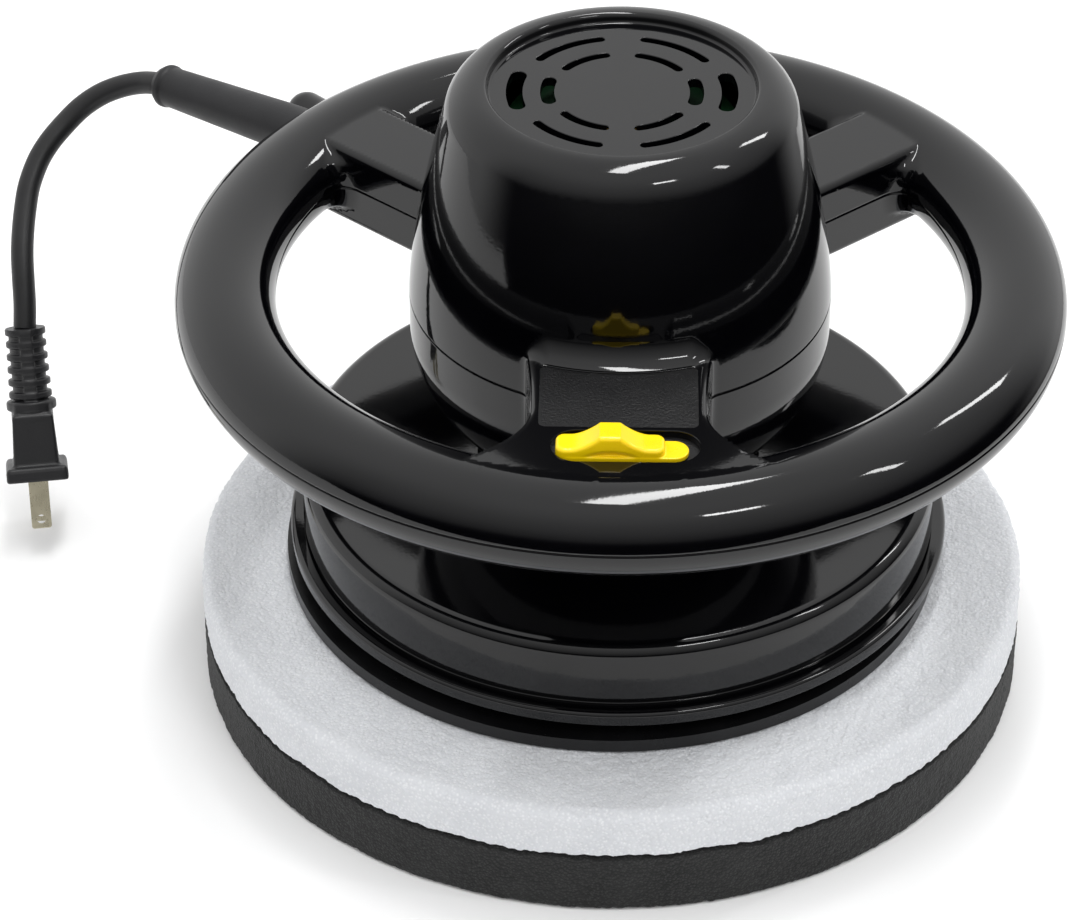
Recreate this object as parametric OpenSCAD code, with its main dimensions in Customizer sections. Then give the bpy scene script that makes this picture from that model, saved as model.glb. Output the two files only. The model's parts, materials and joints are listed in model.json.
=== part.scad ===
// Rotary polisher: a motor housing with a ring handle on three spokes, a fixed
// drum shroud, and a foam pad that a counterweighted eccentric drives in a small orbit.
// Millimetres. Origin on the motor axis at the pad's polishing face, +Z up, -Y to the switch.

/* [Foam pad] */
// Radius of the foam pad
pad_r = 127; // [120:0.5:130]
// Thickness of the dark polishing foam
dark_foam_h = 20.4; // [15:0.1:22]
// Thickness of the white cushion foam
white_foam_h = 17.1; // [14:0.1:17.1]

/* [Orbit] */
// Distance from the motor axis to the pad axis
orbit_r = 2.5; // [1.5:0.1:3]
// Direction of the pad axis at rest, in degrees from +X
orbit_angle = 216.87; // [0:0.01:360]

/* [Backing plate and shroud] */
// Radius of the backing plate's rim
plate_r = 99.7; // [90:0.1:100]
// Thickness of the backing plate
plate_h = 4.1; // [3:0.1:4.5]
// Radius of the shroud's flared lip
lip_r = 100.5; // [99:0.1:102]
// Radius of the shroud's wall
drum_r = 96.5; // [94:0.1:97.5]
// Height of the lip's lower edge above the pad's face
drum_bottom = 46.2; // [46:0.1:47]
// Height of the shroud's flat top
drum_top = 72; // [71:0.1:73]

/* [Motor housing] */
// Radius of the housing at the parting plane
housing_r = 62.4; // [61:0.1:64]
// Height of the housing's top
housing_top = 202; // [201:0.5:204]
// How much the dome narrows by its shoulder
dome_taper = 10.4; // [8:0.1:11]
// Depth of the bowl below its widest height
bowl_h = 49; // [48:0.5:52]
// Wall thickness of the housing shells
wall = 2.8; // [2.4:0.1:3]

/* [Ring handle and spokes] */
// Radius of the ring handle's centreline
ring_r = 116.6; // [115:0.1:118]
// Half the ring section's width
ring_half_w = 14.9; // [14:0.1:15.5]
// Half the ring section's height
ring_half_h = 13.9; // [13.5:0.1:14.5]
// Height of the parting plane, through the ring's middle
part_z = 132.4; // [132:0.1:133]
// Angle of the two rear spokes from the X axis
spoke_angle = 40; // [38:0.5:42]
// Half the width of a rear spoke
spoke_half_w = 13.4; // [12:0.1:14]
// Height of a rear spoke's top above the parting plane
spoke_rise = 12.1; // [11:0.1:12.5]
// Half the width of the front spoke, which carries the switch
front_half_w = 26.5; // [25:0.1:28]

/* [Switch] */
// Travel of the switch slider
slider_travel = 3; // [2:0.5:3]
// Length of the slider's base
slider_l = 36.6; // [34:0.1:36.6]
// Depth of the slider
slider_d = 8.4; // [8:0.1:9]

/* [Cord] */
// Diameter of the mains cord
cord_d = 7.3; // [6.5:0.1:7.5]
// Length of the strain relief boot
boot_l = 68; // [66:0.5:68]

/* [Hidden] */

$fn = 96;
fit_gap = 0.03;                    // radial running clearance
eps = 0.02;                        // clearance between seated pieces

foam_top = dark_foam_h + white_foam_h;
plate_top = foam_top + plate_h;
pad_axis = [orbit_r * cos(orbit_angle), orbit_r * sin(orbit_angle)];

drum_wall = 2.6;
lip_top = drum_bottom + 4.8;
groove_top = lip_top + 1.7;
drum_edge = 4;                     // radius of the drum's rounded top edge
air_hole_r = 30;

shoulder_z = 190;                  // height at which the dome's taper is stated
corner_z = 194;                    // where the dome's wall turns into its top edge
corner_r = 8;
recess_r = 38.6;
recess_z = housing_top - 3;
side_slot = 39;                    // angle of the vent slots at the sides
long_slot = 45.5;                  // angle of the other, narrower slots
bowl_z = 122;                      // the bowl's widest height
neck_z = 86;                       // where the bowl meets the neck
band_step = 4;                     // height of each turned band of the shells
ring_sides = 36;

front_top = ring_half_h;           // the front spoke is level with the ring's top
slot_c = [2, -99.4];                // centre of the switch recess
slot_l = 41;
slot_w = 14.5;
slot_depth = 2.5;
slider_y = -100.3;
slider_x0 = -17.2;                 // left end of the slider at rest
slider_base_z = part_z + front_top - slot_depth + 0.3;
slider_base_h = 0.9;
grip_half = 15;                    // half the thumb grip's length
grip_top = 8;
grip_end = 4;

screw_angles = [-140, -40, 10, 65, 115, 170];
screw_r = 2;
screw_sink = 7;                    // depth of the ring screws' counterbores
boss_r = 5;
switch_z = 123.5;                  // seat of the switch body
switch_ear = 20;
clamp_z = 134.5;                   // underside of the cord clamp
clamp_ear = 7.2;

boot_tip = [-147, 115, 130.5];     // where the cord leaves the boot
boot_az = 142;
boot_drop = 5;
boot_root_r = 7.6;
boot_tip_r = 6.4;
lug_az = 136;                      // rounded lug on the ring beside the boot
lug_r = 6.3;
lug_end = 138;

shaft_r = 4;
shaft_z = [64.5, 184];
can_r = 36;
can_wall = 2;
can_z = [96, 170];
magnet_r = [25.2, can_r - can_wall - eps];
magnet_z = 108;
magnet_h = 42;
core_z = [114, 144];
bell_top = 174;
bolt_circle = 29.5;                // the two long bolts that close the motor
mount_r = 44;
mount_z = 92.5;
mount_t = 3.5;
mount_arm_r = 39.5;
foot_screw_r = 36.5;
motor_screw_circle = 24;
board_z = 186;                     // underside of the rectifier board
board_t = 1.6;
standoff_circle = 28;
brush_z = 156;                     // lower side of the carbon brushes
brush_h = 8;
commutator_z = 154;
commutator_r = 12;
fan_z = 77.5;
fan_disc_t = 1.6;
weight_r = 52;                     // reach of the counterweight's lobe
weight_hub_z = 60;
plate_screw_circle = 14.5;

motor_bearing = [4, 11, 7];        // bore radius, outer radius, width
motor_bearing_z = 88.7;
orbit_bearing = [7.5, 16, 9];
orbit_bearing_z = 50.6;
bearing_balls = 8;

// Points of the cord's centreline, from the boot to the plug.
cord_route = [
    [-147, 115, 130.5], [-153.5, 119, 128.5], [-160.5, 121, 126], [-167.5, 121, 123],
    [-174, 119.5, 119], [-179.5, 116.5, 114.5], [-184.5, 112, 110], [-188, 107.5, 105.5],
    [-190.5, 102, 100], [-191.5, 97, 95], [-192, 91, 89.5], [-192, 85.5, 84],
    [-191.5, 80.5, 78], [-191, 76, 71.5], [-191, 72, 65]
];
cord_end = cord_route[len(cord_route) - 1];
plug_tilt = 26;                    // lean of the hanging plug towards the front
plug_lean = 4.5;                   // lean of the hanging plug towards +X
plug_turn = 11;                    // turn of the plug about its own axis
plug_l = 48.6;                     // moulded body, from cord to face
blade_l = 16;
blade_gap = 12.7;

// Inside the housing the lead runs along the rear left spoke.
lead_route = [
    [-146.2, 114.4, 130.6], [-120.3, 94.1, 133.5], [-93.6, 73.3, 136.4], [-86, 68.5, 135],
    [-77, 64, 132.8], [-69, 58, 132], [-61.2, 51.4, 132]
];
live_route = [
    [-59, 49, 132], [-50, 42, 136], [-44, 34, 140], [-45, 16, 144], [-46, 0, 144],
    [-44, -18, 142], [-36, -34, 138], [-23, -48, 134], [-18, -62, 131], [-13, -80, 130],
    [-12, -89, 130], [-12, -94.1, 130]
];
neutral_route = [
    [-58.5, 51, 133], [-50, 45, 136], [-43, 39, 138], [-39, 35, 148], [-38, 33, 158], [-35, 30, 168],
    [-32, 25, 178], [-28.5, 20.5, 184.5]
];
switched_route = [
    [12, -94.1, 130], [12, -89, 130], [14, -80, 131], [18, -62, 134], [24, -47, 140],
    [38, -26, 148], [41, -12, 160], [38, -8, 174], [33.5, -8, 184.3]
];

// Swept tube: a ring of points across the route at each of its own points.
function unit(v) = v / norm(v);
function heading(path, i) =
    unit(path[min(i + 1, len(path) - 1)] - path[max(i - 1, 0)]);
function side_way(d) = unit(cross(d, abs(d[1]) < 0.9 ? [0, 1, 0] : [1, 0, 0]));
function tube_points(path, r, sides) = [
    for (i = [0 : len(path) - 1])
        let (d = heading(path, i), u = side_way(d), v = cross(d, u))
            for (j = [0 : sides - 1])
                path[i] + r * (cos(360 * j / sides) * u + sin(360 * j / sides) * v)
];
function tube_faces(n, sides) = concat(
    [[for (j = [0 : sides - 1]) j]],
    [for (i = [0 : n - 2], j = [0 : sides - 1])
        [i * sides + j, (i + 1) * sides + j,
         (i + 1) * sides + (j + 1) % sides, i * sides + (j + 1) % sides]],
    [[for (j = [sides - 1 : -1 : 0]) (n - 1) * sides + j]]
);
module tube(path, r, sides) {
    polyhedron(tube_points(path, r, sides), tube_faces(len(path), sides), convexity = 4);
}

function arc(c, r, a0, a1, n) =
    [for (i = [0 : n]) c + r * [cos(a0 + (a1 - a0) * i / n), sin(a0 + (a1 - a0) * i / n)]];
function dome_r(z) =
    housing_r - dome_taper * pow((z - part_z) / (shoulder_z - part_z), 1.45);
function bowl_r(z) = housing_r * sqrt(1 - pow((bowl_z - z) / bowl_h, 2));
function steps(a, b) =
    let (n = ceil((b - a) / band_step)) [for (i = [0 : n]) a + (b - a) * i / n];

module ring_of(count, r, start = 0) {
    for (i = [0 : count - 1]) rotate(start + 360 * i / count) translate([r, 0, 0]) children();
}
module pipe(r_out, r_in, h) {
    difference() {
        cylinder(r = r_out, h = h);
        translate([0, 0, -1]) cylinder(r = r_in, h = h + 2);
    }
}
module screw(head_r, head_h, r, l) {
    // the seat is at z = 0: head below it, shank above
    translate([0, 0, -head_h]) cylinder(r = head_r, h = head_h, $fn = 32);
    cylinder(r = r, h = l, $fn = 24);
}
module screw_down(head_r, head_h, r, l) {
    mirror([0, 0, 1]) screw(head_r, head_h, r, l);
}
module on_boot_axis() {
    translate(boot_tip) rotate([0, 0, boot_az]) rotate([0, 90 + boot_drop, 0]) children();
}
module on_cord_clamp() {
    rotate(180 - spoke_angle) translate([86, 0, 0]) children();
}
module on_pad_axis() {
    translate([pad_axis[0], pad_axis[1], 0]) children();
}
module on_plug_axis() {
    // +Z runs from the plug's face up to the cord
    translate(cord_end) rotate([-plug_tilt, -plug_lean, 0]) rotate(plug_turn)
        translate([0, 0, -plug_l]) children();
}

// ---- Housing shells ----
module dome(t) {
    top = t > 0 ? recess_z - wall : housing_top;
    corner = arc([dome_r(corner_z) - corner_r - t, top - corner_r], corner_r, 12, 90, 6);
    side = [for (z = steps(part_z, corner_z - (housing_top - top))) [dome_r(z) - t, z]];
    rotate_extrude() polygon(concat([[0, part_z]], side, corner, [[0, top]]));
}
module bowl(t) {
    side = [for (z = steps(neck_z, bowl_z)) [bowl_r(z) - t, z]];
    rotate_extrude() polygon(concat(
        [[0, drum_top + t], [bowl_r(neck_z) - t, drum_top + t]], side,
        [[housing_r - t, part_z], [0, part_z]]
    ));
}
module ring_handle(t) {
    rotate_extrude($fn = 160) translate([ring_r, part_z]) polygon([
        for (i = [0 : ring_sides - 1]) let (a = 360 * i / ring_sides)
            [(ring_half_w - t) * cos(a), (ring_half_h - t) * sin(a)]
    ]);
}
module spoke(half_w, rise, t) {
    translate([housing_r - 10, -half_w + t, part_z - ring_half_h + t])
        cube([ring_r - housing_r + 6, 2 * (half_w - t), ring_half_h + rise - 2 * t]);
}
module spokes(t) {
    rotate(spoke_angle) spoke(spoke_half_w, spoke_rise, t);
    rotate(180 - spoke_angle) spoke(spoke_half_w, spoke_rise, t);
    rotate(-90) spoke(front_half_w, front_top, t);
}
module cord_lug() {
    rotate(lug_az) translate([ring_r, 0, part_z]) rotate([0, 90, 0])
        cylinder(r = lug_r, h = lug_end - ring_r);
    rotate(lug_az) translate([lug_end, 0, part_z]) sphere(r = lug_r);
}
module boot_hole() {
    on_boot_axis() translate([0, 0, 5 - boot_l]) cylinder(r = boot_root_r + eps, h = boot_l);
}
module upper_half() {
    translate([0, 0, part_z + 0.1]) cylinder(r = 200, h = 100);
}
module lower_half() {
    translate([0, 0, part_z - 0.1 - 100]) cylinder(r = 200, h = 100);
}
module arc_slot(r_in, r_out, angle) {
    intersection() {
        pipe(r_out, r_in, 12);
        translate([0, 0, -1]) linear_extrude(14) polygon([
            [0, 0], 60 * [cos(angle / 2), -sin(angle / 2)], 60 * [cos(angle / 2), sin(angle / 2)]
        ]);
    }
}
module vent_slots() {
    for (a = [0, 180]) rotate(a) translate([0, 0, recess_z - 6]) {
        arc_slot(28.6, 33.2, side_slot);
        arc_slot(19.5, 23.4, side_slot);
    }
    for (a = [57, 123, 237, 303]) rotate(a) translate([0, 0, recess_z - 6]) {
        arc_slot(28.4, 30.9, long_slot);
        arc_slot(19.2, 21.7, long_slot);
    }
}
module stadium(l, w, h) {
    linear_extrude(h) {
        translate([w / 2 - l / 2, -w / 2]) square([l - w, w]);
        for (s = [-1, 1]) translate([s * (l - w) / 2, 0]) circle(d = w);
    }
}
module rounded_block(l, w, r, h) {
    linear_extrude(h) {
        square([l - 2 * r, w], center = true);
        square([l, w - 2 * r], center = true);
        for (x = [-1, 1], y = [-1, 1]) translate([x * (l / 2 - r), y * (w / 2 - r)]) circle(r = r);
    }
}
module switch_opening() {
    top = part_z + front_top;
    translate([slot_c[0], slot_c[1], top - slot_depth]) stadium(slot_l, slot_w, 5);
    translate([slider_x0 + slider_l / 2 + slider_travel / 2 - 8, slider_y - 3, top - 10])
        cube([16, 6, 12]);
}
module ring_bosses(z0, h, r_hole) {
    for (a = screw_angles) rotate(a) translate([ring_r, 0, z0]) pipe(boss_r, r_hole, h);
}
module upper_housing() color("#1c1c1e") {
    difference() {
        intersection() {
            union() {
                dome(0);
                ring_handle(0);
                spokes(0);
                cord_lug();
            }
            upper_half();
        }
        difference() {
            union() {
                dome(wall);
                ring_handle(wall);
                spokes(wall);
            }
            translate([slot_c[0], slot_c[1], part_z + front_top - slot_depth - wall])
                stadium(slot_l + 2 * wall, slot_w + 2 * wall, 20);
        }
        translate([0, 0, recess_z]) cylinder(r = recess_r, h = 10);
        vent_slots();
        switch_opening();
        boot_hole();
    }
    intersection() {
        ring_bosses(part_z + 0.1, ring_half_h, screw_r - 0.3);
        ring_handle(1);
    }
}
module lower_housing() color("#232325") {
    difference() {
        intersection() {
            union() {
                bowl(0);
                ring_handle(0);
                spokes(0);
                cord_lug();
            }
            lower_half();
        }
        bowl(wall);
        ring_handle(wall);
        spokes(wall);
        translate([0, 0, drum_top - 1]) cylinder(r = air_hole_r, h = 10);
        boot_hole();
        for (a = screw_angles) rotate(a) translate([ring_r, 0, part_z - ring_half_h - 1])
            cylinder(r = boss_r - 1, h = screw_sink + 1);
        ring_of(4, foot_screw_r, 45) translate([0, 0, drum_top - 1]) cylinder(r = 1.7, h = 6, $fn = 24);
        ring_of(4, mount_arm_r) translate([0, 0, drum_top + 9]) cylinder(r = 1.7, h = 20, $fn = 24);
    }
    difference() {
        intersection() {
            ring_bosses(part_z - ring_half_h, ring_half_h - 0.1, screw_r + 0.2);
            ring_handle(1);
        }
        for (a = screw_angles) rotate(a) translate([ring_r, 0, part_z - ring_half_h - 1])
            cylinder(r = boss_r - 1, h = screw_sink + 1);
    }
    // posts under the switch and the cord clamp
    for (s = [-1, 1]) {
        translate([s * switch_ear, slider_y, part_z - ring_half_h + 1]) difference() {
            cylinder(r = 3.4, h = switch_z - part_z + ring_half_h - 1 - eps, $fn = 32);
            translate([0, 0, 1]) cylinder(r = 1.7, h = 20, $fn = 24);
        }
        on_cord_clamp() translate([0, s * clamp_ear, part_z - ring_half_h + 1]) difference() {
            cylinder(r = 3, h = clamp_z - part_z + ring_half_h - 1 - eps, $fn = 32);
            translate([0, 0, 6]) cylinder(r = 1.7, h = 20, $fn = 24);
        }
    }
    // pillars for the motor mount plate, standing on the bowl's floor
    ring_of(4, mount_arm_r) translate([0, 0, drum_top + 1]) difference() {
        cylinder(r = 3.4, h = mount_z - drum_top - 1 - eps, $fn = 32);
        translate([0, 0, 8]) cylinder(r = 1.7, h = 20, $fn = 24);
    }
}
module housing_screws() color("#8c8c90") {
    for (a = screw_angles) rotate(a)
        translate([ring_r, 0, part_z - ring_half_h + screw_sink - eps])
            screw(3.6, 2.4, screw_r - 0.35, 13);
}

// ---- Shroud ----
module shroud() color("#1a1a1c") {
    outline = concat(
        [[air_hole_r, drum_top - drum_wall], [drum_r - drum_wall, drum_top - drum_wall],
         [drum_r - drum_wall, lip_top], [lip_r - drum_wall, drum_bottom], [lip_r, drum_bottom]],
        arc([lip_r - 1, lip_top - 1], 1, 0, 90, 4),
        [[drum_r - 1, lip_top], [drum_r - 1, groove_top], [drum_r, groove_top]],
        arc([drum_r - drum_edge, drum_top - drum_edge], drum_edge, 0, 90, 6),
        [[air_hole_r, drum_top]]
    );
    difference() {
        rotate_extrude($fn = 160) polygon(outline);
        ring_of(4, foot_screw_r, 45) translate([0, 0, drum_top - 10]) cylinder(r = 2.2, h = 20, $fn = 24);
    }
}
module shroud_screws() color("#8c8c90") {
    ring_of(4, foot_screw_r, 45) translate([0, 0, drum_top - drum_wall - eps])
        screw(3.6, 2.4, 1.65, 5.2);
}

// ---- Motor, fixed part ----
module motor_mount_plate() color("#b4b6b8") {
    difference() {
        translate([0, 0, mount_z]) cylinder(r = mount_r, h = mount_t);
        translate([0, 0, mount_z - 1]) cylinder(r = motor_bearing[1] + 3.2, h = mount_t + 2);
        ring_of(4, mount_arm_r) translate([0, 0, mount_z - 1]) cylinder(r = 2.2, h = 10, $fn = 24);
        ring_of(2, motor_screw_circle) translate([0, 0, mount_z - 1]) cylinder(r = 2.2, h = 10, $fn = 24);
        // air windows
        for (a = [45 : 90 : 315]) rotate(a) translate([31, 0, mount_z - 1])
            stadium(16, 14, 10);
    }
}
module mount_plate_screws() color("#8c8c90") {
    ring_of(4, mount_arm_r) translate([0, 0, mount_z + mount_t + eps])
        screw_down(3.2, 2.2, 1.65, 12);
}
module motor_screws() color("#8c8c90") {
    ring_of(2, motor_screw_circle) translate([0, 0, mount_z - eps])
        screw(3.4, 2.2, 2, mount_t + can_wall + 1);
}
module motor_can() color("#a9abad") {
    floor_z = mount_z + mount_t + eps;
    difference() {
        union() {
            translate([0, 0, floor_z]) cylinder(r = can_r, h = can_z[1] - floor_z);
            translate([0, 0, motor_bearing_z - 1]) cylinder(r = motor_bearing[1] + 2.8, h = 10);
        }
        translate([0, 0, floor_z + can_wall]) cylinder(r = can_r - can_wall, h = 100);
        translate([0, 0, motor_bearing_z]) cylinder(r = motor_bearing[1] + eps, h = 30);
        translate([0, 0, motor_bearing_z - 2]) cylinder(r = motor_bearing[1] - 2, h = 10);
        ring_of(2, motor_screw_circle) translate([0, 0, floor_z - 1]) cylinder(r = 2 + eps, h = 10, $fn = 24);
        // windows beside the brushes, air holes and through-bolt holes in the floor
        for (a = [45 : 90 : 315]) rotate(a) translate([can_r, 0, brush_z + 2]) rotate([0, 90, 0])
            translate([0, 0, -5]) stadium(12, 8, 10);
        ring_of(4, 28, 45) translate([0, 0, floor_z - 1]) cylinder(r = 3.5, h = 6, $fn = 32);
        ring_of(2, bolt_circle, 90) translate([0, 0, floor_z - 1]) cylinder(r = 1.5 + eps, h = 6, $fn = 24);
    }
}
module field_magnets() color("#3a3a3c") {
    difference() {
        translate([0, 0, magnet_z]) pipe(magnet_r[1], magnet_r[0], magnet_h);
        translate([-9, -60, magnet_z - 8]) cube([18, 120, magnet_h + 18]);
    }
}
module motor_damper_ring() color("#262626") {
    ring_z = 120;
    ring_h = 12;
    translate([0, 0, ring_z]) pipe(can_r + 3, can_r + eps, ring_h);
    // three arms out to the dome's wall
    ring_of(3, can_r + 12.8, 90) translate([0, 0, ring_z + ring_h / 2]) cube([20.4, 7, 10], center = true);
}
module end_bell() color("#5a3a22") {
    difference() {
        union() {
            translate([0, 0, can_z[1] + eps]) cylinder(r = can_r, h = bell_top - can_z[1]);
            translate([0, 0, can_z[1] + eps]) cylinder(r = 12, h = 12);
            translate([0, 0, can_z[1] - 3]) pipe(can_r - can_wall - eps, can_r - 5, 4);
        }
        translate([0, 0, can_z[1] - 5]) cylinder(r = shaft_r + 1.2, h = 30);
        translate([0, 0, can_z[1] + 3]) cylinder(r = 8 + eps, h = 30);
        ring_of(2, bolt_circle, 90) translate([0, 0, can_z[1] - 5]) cylinder(r = 1.6, h = 20, $fn = 24);
        ring_of(3, standoff_circle) translate([0, 0, can_z[1] - 5]) cylinder(r = 1.3, h = 20, $fn = 24);
        ring_of(4, 20, 45) translate([0, 0, can_z[1] - 5]) cylinder(r = 4.5, h = 20, $fn = 32);
    }
}
module through_bolts() color("#8c8c90") {
    ring_of(2, bolt_circle, 90) translate([0, 0, bell_top + 2 * eps])
        screw_down(3, 2.2, 1.5, bell_top - mount_z - mount_t);
}
module top_bush() color("#b08d57") {
    translate([0, 0, can_z[1] + 3 + eps]) pipe(8, shaft_r + fit_gap, 8.5);
}
module brush_holders() color("#c9a24a") {
    ring_of(2, 0) difference() {
        translate([13.6, -4.6, brush_z - 1.4]) cube([16.4, 9.2, can_z[1] - brush_z + 1.4 - eps]);
        translate([12, -3.1, brush_z]) cube([17, 6.2, brush_h + 0.2]);
    }
}
module carbon_brushes() color("#2b2b2b") {
    ring_of(2, 0) translate([12.6, -3, brush_z + 0.1]) cube([9.4, 6, brush_h]);
}
module brush_springs() color("#c8c8c8") {
    turns = 4;
    coil_r = 2.2;
    axis_z = brush_z + 0.1 + brush_h / 2;
    helix = [for (i = [0 : 10 * turns])
        [22.5 + 5.9 * i / (10 * turns), coil_r * cos(36 * i), axis_z + coil_r * sin(36 * i)]];
    ring_of(2, 0) tube(helix, 0.4, 6);
}
module race(r_in, r_out, groove_r, ball_r, h) {
    difference() {
        pipe(r_out, r_in, h);
        translate([0, 0, h / 2]) rotate_extrude() translate([groove_r, 0])
            circle(r = ball_r + 0.06, $fn = 48);
    }
}
function ball_r(b) = (b[1] - b[0]) * 0.27;
function ball_pitch(b) = (b[0] + b[1]) / 2;
module bearing_outer(b) {
    race(ball_pitch(b) + ball_r(b) * 0.6, b[1], ball_pitch(b), ball_r(b), b[2]);
}
module bearing_inner(b) {
    race(b[0] + eps, ball_pitch(b) - ball_r(b) * 0.6, ball_pitch(b), ball_r(b), b[2]);
}
module bearing_balls_of(b) {
    ring_of(bearing_balls, ball_pitch(b)) translate([0, 0, b[2] / 2]) sphere(r = ball_r(b), $fn = 48);
}
module motor_bearing_outer() color("#c4c6c8") {
    translate([0, 0, motor_bearing_z + eps]) bearing_outer(motor_bearing);
}
module motor_bearing_balls() color("#e0e0e0") {
    translate([0, 0, motor_bearing_z + eps]) bearing_balls_of(motor_bearing);
}
module rectifier_board() color("#2f6b3a") {
    difference() {
        translate([0, 0, board_z]) cylinder(r = 34, h = board_t);
        translate([0, 0, board_z - 1]) cylinder(r = 13, h = 4);
        ring_of(3, standoff_circle) translate([0, 0, board_z - 1]) cylinder(r = 1.4, h = 4, $fn = 24);
    }
}
module rectifier_bridge() color("#222222") {
    translate([-7.5, 19.8, board_z + board_t + 0.05]) cube([15, 6.4, 7]);
}
module noise_capacitor() color("#d9a514") {
    translate([-9, -24.5, board_z + board_t + 0.05]) cube([18, 7, 7.5]);
}
module board_standoffs() color("#d8d8d0") {
    ring_of(3, standoff_circle) {
        translate([0, 0, bell_top + 2 * eps]) cylinder(r = 3, h = board_z - bell_top - 4 * eps, $fn = 32);
        translate([0, 0, bell_top - 3]) cylinder(r = 1.25, h = 5, $fn = 24);
        translate([0, 0, board_z - 0.5]) cylinder(r = 1.35, h = 3.4, $fn = 24);
    }
}

// ---- Switch ----
module switch_body() color("#2a2a2c") {
    body = [34, 12, 12.4];
    difference() {
        translate([-body[0] / 2, slider_y - body[1] / 2, switch_z]) cube(body);
        translate([-9, slider_y - 3.2, switch_z + 7.5]) cube([18, 6.4, 6]);
    }
    for (s = [-1, 1]) translate([s * switch_ear - 3.4, slider_y - 4, switch_z]) difference() {
        cube([6.8, 8, 3]);
        translate([3.4, 4, -1]) cylinder(r = 1.8, h = 5, $fn = 24);
    }
}
module switch_screws() color("#8c8c90") {
    for (s = [-1, 1]) translate([s * switch_ear, slider_y, switch_z + 3 + eps])
        screw_down(3, 2, 1.6, 5);
}
module switch_toggle() color("#e8e4da") {
    translate([-4.5, slider_y - 2.6, 131.4]) difference() {
        cube([6, 5.2, 7]);
        translate([1.4, -1, 3]) cube([3.2, 8, 6]);
    }
}
function grip_h(x) =
    let (u = abs(x) / grip_half)
        u < 0.19 ? grip_top : grip_end + (grip_top - grip_end) * pow(max(0, (0.72 - u) / 0.53), 1.7);
module switch_slider() color("#f7c600") {
    mid = slider_x0 + slider_l / 2;
    grip = [for (i = [-grip_half : 1 : grip_half]) [i, grip_h(i)]];
    translate([mid, slider_y, slider_base_z]) stadium(slider_l, slider_d, slider_base_h);
    intersection() {
        translate([slider_x0 + grip_half, slider_y + slider_d / 2, slider_base_z]) rotate([90, 0, 0])
            linear_extrude(slider_d) polygon(concat([[-grip_half, 0]], grip, [[grip_half, 0]]));
        translate([slider_x0 + grip_half, slider_y, slider_base_z - 1])
            rounded_block(2 * grip_half, slider_d, 3, 12);
    }
    // stem down into the switch
    translate([-2.9, slider_y - 2, slider_base_z - 8.4]) cube([2.8, 4, 8.6]);
}

// ---- Cord ----
module strain_relief() color("#262628") {
    on_boot_axis() translate([0, 0, -boot_l]) difference() {
        rotate_extrude() polygon([
            [0, 0], [6.8, 0], [6.8, 2.4], [5.4, 2.4], [5.4, 6], [boot_root_r, 6],
            [boot_root_r, 16], [boot_tip_r, boot_l - 4.6], [boot_tip_r + 0.5, boot_l - 3.6],
            [boot_tip_r + 0.5, boot_l - 2], [boot_tip_r - 1, boot_l], [0, boot_l]
        ]);
        translate([0, 0, -1]) cylinder(d = cord_d + 2 * eps, h = boot_l + 2, $fn = 64);
    }
}
module cord_clamp() color("#2c2c2e") {
    on_cord_clamp() difference() {
        translate([-4, -10.2, clamp_z]) cube([8, 20.4, 4]);
        translate([-6, 0, clamp_z - 2.5]) rotate([0, 90, 0]) cylinder(d = cord_d, h = 12, $fn = 48);
        for (s = [-1, 1]) translate([0, s * clamp_ear, 130]) cylinder(r = 1.7, h = 14, $fn = 24);
    }
}
module cord_clamp_screws() color("#8c8c90") {
    on_cord_clamp() for (s = [-1, 1]) translate([0, s * clamp_ear, clamp_z + 4 + eps])
        screw_down(2.8, 2, 1.6, 13);
}
module inner_lead() color("#202022") {
    tube(lead_route, cord_d / 2 - 0.2, 10);
}
module inner_wires() {
    color("#1b1b1b") tube(live_route, 1.1, 6);
    color("#e6e6e6") tube(neutral_route, 1.1, 6);
    color("#b02020") tube(switched_route, 1.1, 6);
}
module power_cord() color("#1e1e20") {
    tube(cord_route, cord_d / 2, 10);
}
module plug_body() color("#1e1e20") {
    face_w = 19.8;
    body_w = 14.8;
    depth = 23;
    on_plug_axis() difference() {
        union() {
            translate([-face_w / 2, -depth / 2, 0]) cube([face_w, depth, 4.6]);
            translate([-body_w / 2, -depth / 2 + 2.5, 4]) cube([body_w, depth - 5, 17]);
            translate([-6.2, -7.5, 20]) cube([12.4, 15, 3]);
            translate([0, 0, 22]) cylinder(r = 8, h = 3.2);
            for (i = [0 : 5]) translate([0, 0, 26 + 4.1 * i]) cylinder(r = 6.9 - 0.1 * i, h = 2.1);
            translate([0, 0, 24]) cylinder(r = 5.6, h = plug_l - 24 - eps);
        }
        for (s = [-1, 1]) translate([-3.2 - eps, s * blade_gap / 2 - 0.75 - eps, -1])
            cube([6.4 + 2 * eps, 1.5 + 2 * eps, 9 + eps]);
    }
}
module plug_blades() color("#c2b280") {
    on_plug_axis() for (s = [-1, 1]) translate([0, s * blade_gap / 2, 0]) difference() {
        translate([-3.2, -0.75, -blade_l]) cube([6.4, 1.5, blade_l + 8]);
        translate([0, 2, 3 - blade_l]) rotate([90, 0, 0]) cylinder(r = 1.5, h = 4, $fn = 32);
    }
}

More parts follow.
